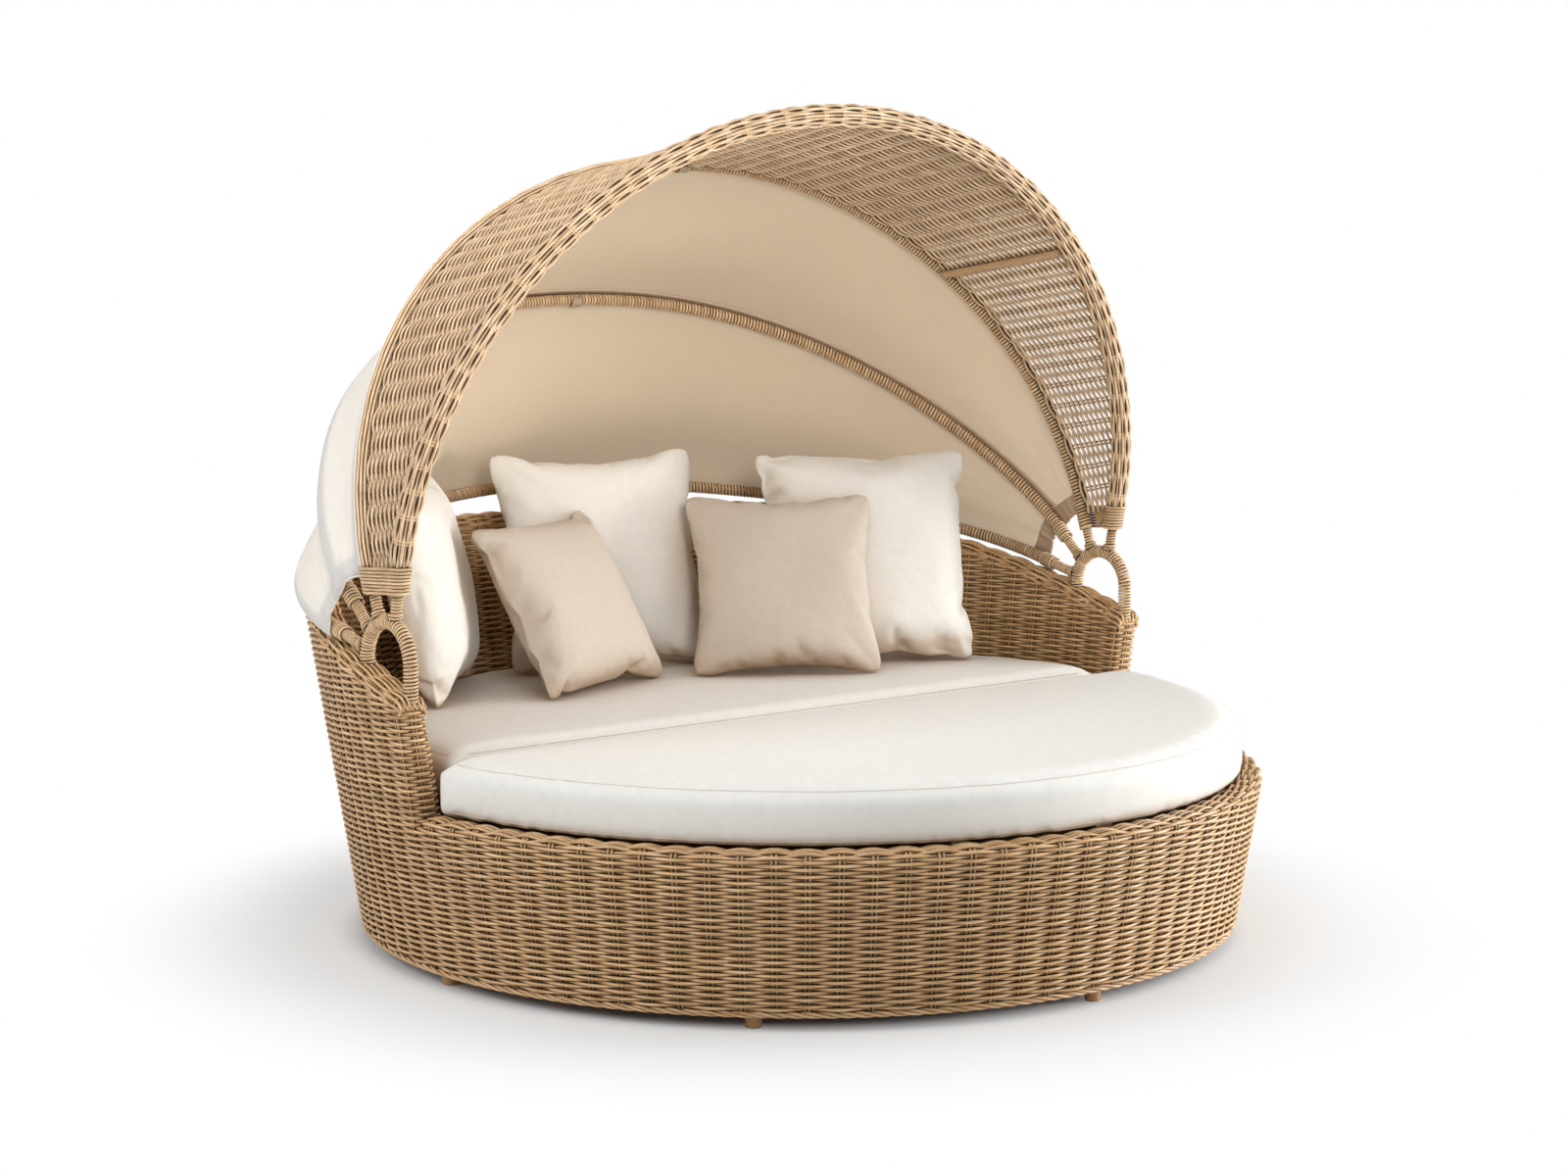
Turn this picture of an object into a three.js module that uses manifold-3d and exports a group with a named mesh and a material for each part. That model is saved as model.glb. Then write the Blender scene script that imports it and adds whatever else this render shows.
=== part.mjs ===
// Round outdoor daybed: a woven tub on short feet, a fixed hood and canopy on four bows,
// two half-round seat cushions and five loose pillows.
// Millimetres, +Z up, front towards -Y. The parts are laid out round the centre of the tub, and the
// whole is then moved so that the origin is on the ground under the middle of its outline.

import * as THREE from 'three';
import { mergeVertices } from 'three/addons/utils/BufferGeometryUtils.js';
import Module from 'manifold-3d';

const wasm = await Module();
wasm.setup();

// Clearances
const gap = 0.3;
const slopeClearance = 1.2;
const cutOverrun = 20;
const weld = 2;

// Tub: the outside is a cone whose radius is named at the front rim
const rimRadius = 940;
const rimHeight = 336;
const flareShare = 0.16;
const skinThickness = 8;
const wallThickness = 65;
const armEndHeight = 565;
const armRise = 210;
const armRiseAngle = THREE.MathUtils.degToRad(65);
const armEndOffset = 22;
const braidHeight = 22;
const braidOverhang = 5;
const frontBraidWidth = 42;
const borderHeight = 13;
const borderWidth = 18;
const borderOverhang = 4;

// Feet and frame
const footHeight = 38;
const footRadius = 16;
const footChamfer = 2;
const footCount = 8;
const footSetback = 39.4;
const stemRadius = 5;
const stemLength = 24;
const boreClearance = 0.4;
const baseRingHeight = 30;
const seatRingDepth = 30;
const seatRingHeight = 30;
const railHeight = 25;
const frontRailDepth = 30;
const postWidth = 30;
const armPostAngle = THREE.MathUtils.degToRad(3);
const deckRailWidth = 40;
const deckSpacingShare = 0.32;
const deckRailsEachSide = 2;

// Hub loops and bows: the four bows fan out from the loops on the arm ends
const hubInset = 5;
const hubCentre = 68;
const hubRadius = 75;
const hubLift = 50;
const hubTubeRadius = 15;
const stubRadius = 10;
const stubInsert = 28;
const collarRadius = 17;
const frontStub = 58;
const hoodStub = 56;
const middleStub = 70;
const rearStub = 76;
const frontCollar = 57;
const bowCollar = 40;
const frontRise = 853;
const hoodRise = 814;
const middleRise = 774;
const rearRise = 719;
const frontBowRadius = 22;
const bowRadius = 14;
const bowSpecs = [
  { name: 'bow_1_front', tilt: -11, loopAngle: -18, stub: frontStub, collar: frontCollar,
    rise: frontRise, radius: frontBowRadius, acrossPower: 2, upPower: 1.95 },
  { name: 'bow_2_hood', tilt: 18.8, loopAngle: 22, stub: hoodStub, collar: bowCollar,
    rise: hoodRise, radius: bowRadius, acrossPower: 2.05, upPower: 2 },
  { name: 'bow_3_middle', tilt: 48, loopAngle: 50, stub: middleStub, collar: bowCollar,
    rise: middleRise, radius: bowRadius, acrossPower: 2.25, upPower: 1.66 },
  { name: 'bow_4_rear', tilt: 76, loopAngle: 78, stub: rearStub, collar: bowCollar,
    rise: rearRise, radius: bowRadius, acrossPower: 1.65, upPower: 2 },
];

// Hood and canopy
const panelThickness = 8;
const wrapHeight = 55;
const wrapThickness = 3;
const plateThickness = 4;
const plateHollow = 37;
const tieRadius = 8;
const tieStandOff = 0.8;
const tieShare = 0.235;
const clothThickness = 2.5;
const clothStandOff = 1.2;
const clothInset = 34;
const clothSag = 24;
const foldDepth = 9;
const foldReach = 260;
const hemTurn = THREE.MathUtils.degToRad(50);
const patchThickness = 1.5;
const strapWidth = 25;
const strapThickness = 2;
const strapStandOff = 1;
const strapTurn = THREE.MathUtils.degToRad(108);

// Cushions and pillows
const frontCushionInset = 22;
const rearCushionGap = 3;
const cushionSplit = -30;
const cushionSeamHeight = 104;
const cushionCrown = 10;
const cushionEdgeInset = 14;
const cushionDrawIn = 4;
const cushionShoulder = 70;
const pillowSpecs = [
  { name: 'pillow_large_left', widthShare: 0.5333, depthShare: 0.172, placeShares: [-0.5826, 0.6789],
    yaw: 48, lean: 12, soft: 'cream' },
  { name: 'pillow_large_centre', widthShare: 0.5619, depthShare: 0.172, placeShares: [0, 0.7798],
    yaw: -12, lean: 16, soft: 'cream' },
  { name: 'pillow_large_right', widthShare: 0.5562, depthShare: 0.172, placeShares: [0.5963, 0.453],
    yaw: -29, lean: 18, soft: 'cream' },
  { name: 'pillow_throw_left', widthShare: 0.4702, depthShare: 0.1433, placeShares: [-0.2661, 0.5596],
    yaw: 19, lean: 31, soft: 'sand' },
  { name: 'pillow_throw_right', widthShare: 0.4759, depthShare: 0.1433, placeShares: [0.305, 0.4323],
    yaw: -31, lean: 25, soft: 'sand' },
];
const pillowDrawShare = 0.07;

// Facet counts
const ringSteps = 56;
const bowSteps = 28;
const tubeSides = 8;
const footSides = 12;
const cushionSteps = 26;
const pillowCells = 10;
const spanRows = 6;
const hoodRows = 3;
const loopSteps = 16;
const strapSteps = 10;
const plateSteps = 4;

const finishes = {
  wicker: { color: 0xb58a5c, roughness: 0.55, metalness: 0 },
  wrap: { color: 0xbd9467, roughness: 0.5, metalness: 0 },
  frame: { color: 0x8a6a48, roughness: 0.45, metalness: 0.3 },
  foot: { color: 0x7d5636, roughness: 0.5, metalness: 0 },
  cloth: { color: 0xece5d8, roughness: 0.9, metalness: 0 },
  trim: { color: 0xb99b7b, roughness: 0.85, metalness: 0 },
  seat: { color: 0xf1eee8, roughness: 0.9, metalness: 0 },
  cream: { color: 0xeee8dc, roughness: 0.9, metalness: 0 },
  sand: { color: 0xccbaa8, roughness: 0.85, metalness: 0 },
};

// Shared geometry helpers

function signedVolume(positions, triangles) {
  const [a, b, c] = [new THREE.Vector3(), new THREE.Vector3(), new THREE.Vector3()];
  let sum = 0;
  for (const [i, j, k] of triangles) {
    a.fromBufferAttribute(positions, i);
    b.fromBufferAttribute(positions, j);
    c.fromBufferAttribute(positions, k);
    sum += a.dot(b.cross(c));
  }
  return sum;
}

// A closed surface from loose triangles: corners merged, slivers dropped, faces turned outwards
function closedGeometry(points, triangles) {
  const loose = new THREE.BufferGeometry();
  loose.setAttribute('position', new THREE.Float32BufferAttribute(points.flatMap((p) => p.toArray()), 3));
  loose.setIndex(triangles.flat());
  const merged = mergeVertices(loose);
  const index = [...merged.index.array];
  const kept = [];
  for (let i = 0; i < index.length; i += 3) {
    const [a, b, c] = index.slice(i, i + 3);
    if (a !== b && b !== c && a !== c) kept.push([a, b, c]);
  }
  const inverted = signedVolume(merged.getAttribute('position'), kept) < 0;
  merged.setIndex(kept.flatMap(([a, b, c]) => (inverted ? [a, c, b] : [a, b, c])));
  return merged;
}

// A solid through a row of like rings, with its ends capped by pairing the two halves of a ring
function loft(rings, closed = false) {
  const count = rings[0].length;
  const triangles = [];
  const quad = (a, b, c, d) => triangles.push([a, b, c], [a, c, d]);
  const spans = closed ? rings.length : rings.length - 1;
  for (let i = 0; i < spans; i += 1) {
    const here = i * count;
    const next = ((i + 1) % rings.length) * count;
    for (let j = 0; j < count; j += 1) {
      const k = (j + 1) % count;
      quad(here + j, here + k, next + k, next + j);
    }
  }
  if (!closed) {
    const last = (rings.length - 1) * count;
    for (let j = 0; j < count / 2 - 1; j += 1) {
      const mirror = count - 1 - j;
      quad(j, mirror, mirror - 1, j + 1);
      quad(last + j, last + j + 1, last + mirror - 1, last + mirror);
    }
  }
  return closedGeometry(rings.flat(), triangles);
}

// A solid between two like grids of points, closed round its four edges
function gridSolid(front, back) {
  const rows = front.length;
  const columns = front[0].length;
  const total = rows * columns;
  const triangles = [];
  const at = (i, j) => i * columns + j;
  const quad = (a, b, c, d) => triangles.push([a, b, c], [a, c, d]);
  for (let i = 0; i < rows - 1; i += 1) {
    for (let j = 0; j < columns - 1; j += 1) {
      quad(at(i, j), at(i, j + 1), at(i + 1, j + 1), at(i + 1, j));
      quad(total + at(i, j), total + at(i + 1, j), total + at(i + 1, j + 1), total + at(i, j + 1));
    }
  }
  for (let i = 0; i < rows - 1; i += 1) {
    quad(at(i, 0), at(i + 1, 0), total + at(i + 1, 0), total + at(i, 0));
    const j = columns - 1;
    quad(at(i + 1, j), at(i, j), total + at(i, j), total + at(i + 1, j));
  }
  for (let j = 0; j < columns - 1; j += 1) {
    quad(at(0, j + 1), at(0, j), total + at(0, j), total + at(0, j + 1));
    const i = rows - 1;
    quad(at(i, j), at(i, j + 1), total + at(i, j + 1), total + at(i, j));
  }
  return closedGeometry([...front.flat(), ...back.flat()], triangles);
}

function solidOf(geometry) {
  const plain = new THREE.BufferGeometry();
  plain.setAttribute('position', geometry.getAttribute('position').clone());
  if (geometry.index) plain.setIndex(geometry.index.clone());
  const merged = mergeVertices(plain);
  const mesh = new wasm.Mesh({
    numProp: 3,
    vertProperties: new Float32Array(merged.getAttribute('position').array),
    triVerts: new Uint32Array(merged.index.array),
  });
  return new wasm.Manifold(mesh);
}

function geometryOf(solid) {
  const mesh = solid.getMesh();
  const geometry = new THREE.BufferGeometry();
  geometry.setAttribute('position', new THREE.Float32BufferAttribute(mesh.vertProperties, 3));
  geometry.setIndex([...mesh.triVerts]);
  return geometry;
}

function mirrored(geometry) {
  const copy = geometry.clone();
  copy.scale(-1, 1, 1);
  const index = [...copy.index.array];
  for (let i = 0; i < index.length; i += 3) {
    [index[i], index[i + 1]] = [index[i + 1], index[i]];
  }
  copy.setIndex(index);
  return copy;
}

// A round bar between two points
function rod(from, to, radius, sides = tubeSides) {
  const along = new THREE.Vector3().subVectors(to, from);
  const bar = new THREE.CylinderGeometry(radius, radius, along.length(), sides);
  const up = new THREE.Vector3(0, 1, 0);
  bar.applyQuaternion(new THREE.Quaternion().setFromUnitVectors(up, along.clone().normalize()));
  const middle = new THREE.Vector3().addVectors(from, to).multiplyScalar(1 / 2);
  return bar.translate(middle.x, middle.y, middle.z);
}

// A round tube along a curve
function tube(curve, radius, steps) {
  const corners = Array.from({ length: tubeSides }, (_, i) => {
    const turn = (i / tubeSides) * Math.PI * 2;
    return new THREE.Vector2(Math.cos(turn) * radius, Math.sin(turn) * radius);
  });
  return new THREE.ExtrudeGeometry(new THREE.Shape(corners), { steps, extrudePath: curve });
}

const polar = (radius, angle, height) =>
  new THREE.Vector3(radius * Math.cos(angle), radius * Math.sin(angle), height);

// Everything laid round the tub shares one set of flat facets
const facetTurn = (Math.PI * 2) / ringSteps;

function facetPlace(angle) {
  const index = Math.floor(angle / facetTurn);
  return { index, share: angle / facetTurn - index };
}

function onFacet(radius, angle, height) {
  const { share } = facetPlace(angle);
  const fromMiddle = (share - 1 / 2) * facetTurn;
  return polar((radius * Math.cos(facetTurn / 2)) / Math.cos(fromMiddle), angle, height);
}

const isWhole = (from, to) => to - from >= Math.PI * 2 - Number.EPSILON;

function stations(from, to) {
  if (isWhole(from, to)) {
    return Array.from({ length: ringSteps }, (_, i) => i * facetTurn);
  }
  const angles = [from];
  const tiny = facetTurn * Number.EPSILON * ringSteps;
  for (let i = Math.floor((from + tiny) / facetTurn) + 1; i * facetTurn < to - tiny; i += 1) {
    angles.push(i * facetTurn);
  }
  return [...angles, to];
}

// Tub walls: angles run from the right arm end, over the back, to the left arm end and the front

const outerRadius = (height) => rimRadius + flareShare * (height - rimHeight);
const armEndAngle = -Math.asin(armEndOffset / rimRadius);
const armFarAngle = Math.PI - armEndAngle;
const postAngles = [
  armPostAngle, Math.PI / 4, Math.PI / 2, (3 * Math.PI) / 4, Math.PI - armPostAngle,
  (5 * Math.PI) / 4, (3 * Math.PI) / 2, (7 * Math.PI) / 4,
];

function armCurve(angle) {
  const fromEnd = Math.max(0, Math.min(angle, Math.PI - angle));
  const share = Math.min(fromEnd / armRiseAngle, 1);
  return armEndHeight + armRise * Math.sin((share * Math.PI) / 2);
}

function armTop(angle) {
  const { index, share } = facetPlace(angle);
  return armCurve(index * facetTurn) * (1 - share) + armCurve((index + 1) * facetTurn) * share;
}

const skinInner = skinThickness + gap;
const innerSkinOuter = wallThickness - skinThickness;
const postInner = innerSkinOuter - gap;
const borderBottom = footHeight - borderHeight;
const baseRingBottom = footHeight + gap;
const baseRingTop = baseRingBottom + baseRingHeight;
const seatTop = rimHeight;
const deckRailBottom = seatTop - railHeight;
const seatRingTop = deckRailBottom - gap;
const frontBraidBottom = rimHeight - braidHeight;
const frontRailTop = frontBraidBottom - gap;
const frontRailBottom = frontRailTop - railHeight;
const armBraidBottom = (angle) => armTop(angle) - braidHeight;
const armRailTop = (angle) => armBraidBottom(angle) - slopeClearance;
const armRailBottom = (angle) => armRailTop(angle) - railHeight;
const footRingRadius = outerRadius(baseRingBottom) - footSetback;
const hubPlane = rimRadius - hubInset;
const hubCentreHeight = armEndHeight + hubLift;
const frontCushionRadius = rimRadius - frontCushionInset;
const rearCushionRadius = rimRadius - wallThickness - rearCushionGap;

// A band of wall: setbacks from the outside, and a lower and an upper edge that may vary round it
function wallBand({ from, to, near, far, bottom, top }) {
  const rings = stations(from, to).map((angle) => {
    const low = bottom(angle);
    const high = top(angle);
    return [
      onFacet(outerRadius(low) - near, angle, low),
      onFacet(outerRadius(high) - near, angle, high),
      onFacet(outerRadius(high) - far, angle, high),
      onFacet(outerRadius(low) - far, angle, low),
    ];
  });
  return loft(rings, isWhole(from, to));
}

// A rounded band laid on an edge, such as a braided rim: shares are across and up its section
function roundBand({ from, to, outside, width, height, bottom }) {
  const outlineShares = [[0.1, 0], [0, 0.5], [0.15, 1], [0.85, 1], [1, 0.5], [0.9, 0]];
  const rings = stations(from, to).map((angle) => {
    const low = bottom(angle);
    const edge = outerRadius(low) + outside;
    return outlineShares.map(([across, up]) => onFacet(edge - across * width, angle, low + up * height));
  });
  return loft(rings, isWhole(from, to));
}

const around = { from: 0, to: Math.PI * 2 };
const overArms = { from: armEndAngle, to: armFarAngle };
const overFront = { from: armFarAngle + gap / rimRadius, to: Math.PI * 2 + armEndAngle - gap / rimRadius };

function outerWeave() {
  const low = wallBand({ ...around, near: 0, far: skinThickness,
    bottom: () => baseRingBottom, top: () => frontRailTop });
  const high = wallBand({ ...overArms, near: 0, far: skinThickness,
    bottom: () => frontRailTop - weld, top: armRailTop });
  return geometryOf(solidOf(low).add(solidOf(high)));
}

function innerWeave() {
  const bottom = () => seatTop + gap;
  const turn = skinThickness / rimRadius;
  const parts = [
    wallBand({ ...overArms, near: innerSkinOuter, far: wallThickness, bottom, top: armRailTop }),
    wallBand({ from: armEndAngle, to: armEndAngle + turn, near: skinInner, far: wallThickness,
      bottom, top: armRailTop }),
    wallBand({ from: armFarAngle - turn, to: armFarAngle, near: skinInner, far: wallThickness,
      bottom, top: armRailTop }),
  ];
  const [body, right, left] = parts.map(solidOf);
  return geometryOf(body.add(right).add(left));
}

const armBraid = () => {
  const band = solidOf(roundBand({ ...overArms, outside: braidOverhang,
    width: wallThickness + 2 * braidOverhang, height: braidHeight, bottom: armBraidBottom }));
  const holes = [-1, 1].flatMap((side) => hubLegs(side).map(({ foot, top }) =>
    solidOf(rod(foot.clone().setZ(foot.z - cutOverrun), top, hubTubeRadius + boreClearance))));
  return geometryOf(holes.reduce((solid, hole) => solid.subtract(hole), band));
};

const frontBraid = () => roundBand({ ...overFront, outside: borderOverhang, width: frontBraidWidth,
  height: braidHeight, bottom: () => frontBraidBottom });

const bottomBorder = () => roundBand({ ...around, outside: borderOverhang, width: borderWidth,
  height: borderHeight, bottom: () => borderBottom });

// Frame under the weave

const footAngles = Array.from({ length: footCount }, (_, i) => (i * Math.PI * 2) / footCount);

function baseRing() {
  const ring = solidOf(wallBand({ ...around, near: skinInner, far: postInner,
    bottom: () => baseRingBottom, top: () => baseRingTop }));
  const bores = footAngles.map((angle) => solidOf(rod(
    polar(footRingRadius, angle, baseRingBottom - cutOverrun),
    polar(footRingRadius, angle, footHeight + stemLength + weld),
    stemRadius + boreClearance, footSides)));
  return geometryOf(bores.reduce((solid, bore) => solid.subtract(bore), ring));
}

const seatRing = () => wallBand({ ...around, near: innerSkinOuter, far: innerSkinOuter + seatRingDepth,
  bottom: () => seatRingTop - seatRingHeight, top: () => seatRingTop });

const frontRail = () => {
  const clear = postWidth / 2 / rimRadius + gap / rimRadius;
  return wallBand({ from: Math.PI - armPostAngle + clear, to: Math.PI * 2 + armPostAngle - clear,
    near: skinInner, far: skinInner + frontRailDepth,
    bottom: () => frontRailBottom, top: () => frontRailTop });
};

const armRail = () => {
  const clear = (skinThickness + gap) / rimRadius;
  return wallBand({ from: armEndAngle + clear, to: armFarAngle - clear,
    near: skinInner, far: postInner, bottom: armRailBottom, top: armRailTop });
};

function post(angle) {
  const half = postWidth / 2 / rimRadius;
  const underArm = Math.min(...[angle - half, angle, angle + half].map(armRailBottom));
  const railBottom = angle > Math.PI ? frontRailBottom : underArm;
  return wallBand({ from: angle - half, to: angle + half, near: skinInner, far: postInner,
    bottom: () => baseRingTop + gap, top: () => railBottom - slopeClearance });
}

function deckRail(place) {
  const reach = outerRadius(deckRailBottom) * Math.cos(facetTurn / 2) - postInner - gap;
  const side = Math.abs(place) + deckRailWidth / 2;
  const length = 2 * Math.sqrt(reach ** 2 - side ** 2);
  const rail = new THREE.BoxGeometry(deckRailWidth, length, railHeight);
  return rail.translate(place, 0, seatTop - railHeight / 2);
}

function foot() {
  const profile = [
    [0, 0],
    [footRadius - footChamfer, 0],
    [footRadius, footChamfer],
    [footRadius, footHeight],
    [stemRadius, footHeight],
    [stemRadius, footHeight + stemLength],
    [0, footHeight + stemLength],
  ].map(([x, y]) => new THREE.Vector2(x, y));
  return new THREE.LatheGeometry(profile, footSides).rotateX(Math.PI / 2);
}

// Hub loops and the stubs that hold the bows

class LoopCurve extends THREE.Curve {
  constructor(side, frontFoot, rearFoot) {
    super();
    this.side = side;
    this.frontLeg = hubCentreHeight - frontFoot;
    this.rearLeg = hubCentreHeight - rearFoot;
    this.arch = Math.PI * hubRadius;
  }

  getPoint(t, target = new THREE.Vector3()) {
    const way = t * (this.frontLeg + this.arch + this.rearLeg);
    const x = this.side * hubPlane;
    if (way < this.frontLeg) {
      return target.set(x, hubCentre - hubRadius, hubCentreHeight - this.frontLeg + way);
    }
    if (way < this.frontLeg + this.arch) {
      const turn = (way - this.frontLeg) / hubRadius;
      return target.set(x, hubCentre - hubRadius * Math.cos(turn), hubCentreHeight + hubRadius * Math.sin(turn));
    }
    return target.set(x, hubCentre + hubRadius, hubCentreHeight - (way - this.frontLeg - this.arch));
  }
}

// Each leg stands on the arm rail, on the uphill side of its foot
function hubLegs(side) {
  return [-1, 1].map((end) => {
    const y = hubCentre + end * hubRadius;
    const uphill = Math.atan2(y + hubTubeRadius, hubPlane);
    const x = side * hubPlane;
    return {
      foot: new THREE.Vector3(x, y, armRailTop(uphill) + gap),
      top: new THREE.Vector3(x, y, hubCentreHeight),
    };
  });
}

function bowFrame(spec, side) {
  const tilt = THREE.MathUtils.degToRad(spec.tilt);
  const onLoop = THREE.MathUtils.degToRad(spec.loopAngle);
  const along = new THREE.Vector3(0, Math.sin(tilt), Math.cos(tilt));
  const root = new THREE.Vector3(side * hubPlane, hubCentre + hubRadius * Math.sin(onLoop),
    hubCentreHeight + hubRadius * Math.cos(onLoop));
  const reach = (distance) => root.clone().addScaledVector(along, distance);
  return { along, root, reach };
}

function hubLoop(side) {
  const [front, rear] = hubLegs(side);
  const loop = solidOf(tube(new LoopCurve(side, front.foot.z, rear.foot.z), hubTubeRadius, loopSteps));
  const stubs = bowSpecs.map((spec) => {
    const { root, reach } = bowFrame(spec, side);
    return solidOf(rod(root, reach(spec.stub + stubInsert), stubRadius));
  });
  return geometryOf(stubs.reduce((solid, stub) => solid.add(stub), loop));
}

// A bow's centreline, in its own tilted plane, from collar to collar
class BowCurve extends THREE.Curve {
  constructor(spec) {
    super();
    this.spec = spec;
    const { along, reach } = bowFrame(spec, 1);
    this.along = along;
    this.base = reach(spec.stub + spec.collar - weld);
  }

  getPoint(t, target = new THREE.Vector3()) {
    const turn = t * Math.PI;
    const across = Math.sign(Math.cos(turn)) * Math.abs(Math.cos(turn)) ** (2 / this.spec.acrossPower);
    const up = Math.abs(Math.sin(turn)) ** (2 / this.spec.upPower);
    target.copy(this.along).multiplyScalar(this.spec.rise * up);
    target.y += this.base.y;
    target.z += this.base.z;
    target.x = hubPlane * across;
    return target;
  }
}

const bowCurves = bowSpecs.map((spec) => new BowCurve(spec));

function bow(index) {
  const spec = bowSpecs[index];
  const curve = bowCurves[index];
  let solid = solidOf(tube(curve, spec.radius, bowSteps));
  for (const side of [-1, 1]) {
    const { reach } = bowFrame(spec, side);
    solid = solid.add(solidOf(rod(reach(spec.stub), reach(spec.stub + spec.collar), collarRadius)));
  }
  for (const side of [-1, 1]) {
    const { reach } = bowFrame(spec, side);
    const mouth = reach(spec.stub - cutOverrun);
    const end = reach(spec.stub + stubInsert + weld);
    solid = solid.subtract(solidOf(rod(mouth, end, stubRadius + boreClearance)));
  }
  return geometryOf(solid);
}

// Stations along the bows, shared by everything that spans them
function station(index, share) {
  const curve = bowCurves[index];
  const point = curve.getPointAt(share);
  const tangent = curve.getTangentAt(share);
  const side = new THREE.Vector3(0, curve.along.z, -curve.along.y);
  const outward = new THREE.Vector3().crossVectors(side, tangent).normalize();
  if (outward.dot(new THREE.Vector3(point.x, 0, point.z - curve.base.z)) < 0) outward.negate();
  return { point, tangent, outward, side };
}

const bowLength = bowCurves[0].getLength();
const wrapTopShare = (wrapHeight - bowSpecs[1].collar + 2 * weld) / bowLength;
const clothShare = clothInset / bowLength;

const columnShares = (first) =>
  [first, ...Array.from({ length: bowSteps - 1 }, (_, i) => (i + 1) / bowSteps), 1 - first];

// The straight line across the hood at one station, cut back to the surfaces of its two bows
function hoodLine(share) {
  const front = station(0, share);
  const rear = station(1, share);
  const across = new THREE.Vector3().subVectors(rear.point, front.point);
  const width = across.length();
  across.normalize();
  const normal = front.outward.clone().add(rear.outward);
  normal.addScaledVector(across, -normal.dot(across)).normalize();
  const square = (bowStation) => Math.sqrt(1 - bowStation.tangent.dot(across) ** 2);
  return {
    front, across, normal,
    start: (bowSpecs[0].radius + gap) / square(front),
    end: width - (bowSpecs[1].radius + gap) / square(rear),
  };
}

// The woven hood panel fills the space between the first two bows
function hoodPanel() {
  const outside = [];
  const inside = [];
  for (const share of columnShares(wrapTopShare)) {
    const { front, across, normal, start, end } = hoodLine(share);
    const line = (offset) => Array.from({ length: hoodRows + 1 }, (_, j) => front.point.clone()
      .addScaledVector(across, start + ((end - start) * j) / hoodRows)
      .addScaledVector(normal, offset));
    outside.push(line(panelThickness / 2));
    inside.push(line(-panelThickness / 2));
  }
  return gridSolid(outside, inside);
}

// The flat strand wrap over the lower ends of the first two bows, outside them and round the front one
function hoodWrap() {
  const front = bowFrame(bowSpecs[0], 1);
  const rear = bowFrame(bowSpecs[1], 1);
  const inner = collarRadius + gap;
  const outer = inner + wrapThickness;
  const low = front.reach(bowSpecs[0].stub + gap);
  const high = front.reach(bowSpecs[0].stub + wrapHeight - gap);
  const rearLow = rear.reach(bowSpecs[1].stub + gap);
  const rearHigh = rear.reach(bowSpecs[1].stub + wrapHeight);
  const ring = solidOf(rod(low, high, outer))
    .subtract(solidOf(rod(front.reach(0), front.reach(bowSpecs[0].stub + wrapHeight + cutOverrun), inner)));
  const section = (x) => [
    new THREE.Vector3(x, low.y, low.z),
    new THREE.Vector3(x, high.y, high.z),
    new THREE.Vector3(x, rearHigh.y + collarRadius, rearHigh.z),
    new THREE.Vector3(x, rearLow.y + collarRadius, rearLow.z),
  ];
  const sheet = solidOf(loft([section(hubPlane + inner), section(hubPlane + outer)]));
  return geometryOf(ring.add(sheet));
}

// The plate that closes the foot of the hood between the two collars, hollowed along its lower edge
function hoodPlate() {
  const front = bowFrame(bowSpecs[0], 1);
  const rear = bowFrame(bowSpecs[1], 1);
  const keep = collarRadius + wrapThickness + 2 * gap;
  const from = (frame, spec, height, shift) => {
    const point = frame.reach(spec.stub + height);
    return new THREE.Vector2(point.y + shift, point.z);
  };
  const shape = new THREE.Shape();
  const start = from(front, bowSpecs[0], weld, keep);
  const end = from(rear, bowSpecs[1], weld, -keep);
  const middle = start.clone().add(end).multiplyScalar(1 / 2);
  shape.moveTo(start.x, start.y);
  shape.quadraticCurveTo(middle.x, middle.y + plateHollow, end.x, end.y);
  const topRear = from(rear, bowSpecs[1], wrapHeight - weld, -keep);
  const topFront = from(front, bowSpecs[0], wrapHeight - weld, keep);
  shape.lineTo(topRear.x, topRear.y);
  shape.lineTo(topFront.x, topFront.y);
  shape.closePath();
  const plate = new THREE.ExtrudeGeometry(shape,
    { depth: plateThickness, bevelEnabled: false, curveSegments: plateSteps });
  const turned = new THREE.Matrix4().makeBasis(
    new THREE.Vector3(0, 1, 0), new THREE.Vector3(0, 0, 1), new THREE.Vector3(1, 0, 0));
  plate.applyMatrix4(turned);
  const sheetInside = hubPlane + collarRadius;
  return geometryOf(solidOf(plate.translate(sheetInside - plateThickness, 0, 0)));
}

// A straight bar between the first two bows, just inside the woven panel and parallel to its facet
function tieBar(share) {
  const drop = panelThickness / 2 + tieRadius + tieStandOff;
  const first = Math.floor(share * bowSteps);
  const [[nearStart, nearEnd], [farStart, farEnd]] = [first, first + 1].map((step) => {
    const { front, across, normal, start, end } = hoodLine(step / bowSteps);
    return [start, end].map((distance) =>
      front.point.clone().addScaledVector(across, distance).addScaledVector(normal, -drop));
  });
  const between = share * bowSteps - first;
  return rod(nearStart.lerp(farStart, between), nearEnd.lerp(farEnd, between), tieRadius);
}

// The canopy cloth runs from the second bow over the third to the last one and turns round it

function clothRows() {
  const rows = [];
  for (const span of [1, 2]) {
    for (let j = 0; j < spanRows; j += 1) rows.push({ span, share: j / spanRows, turn: 0 });
  }
  for (const turnShare of [0, 1 / 2, 1]) rows.push({ span: 2, share: 1, turn: turnShare * hemTurn });
  return rows;
}

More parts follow.
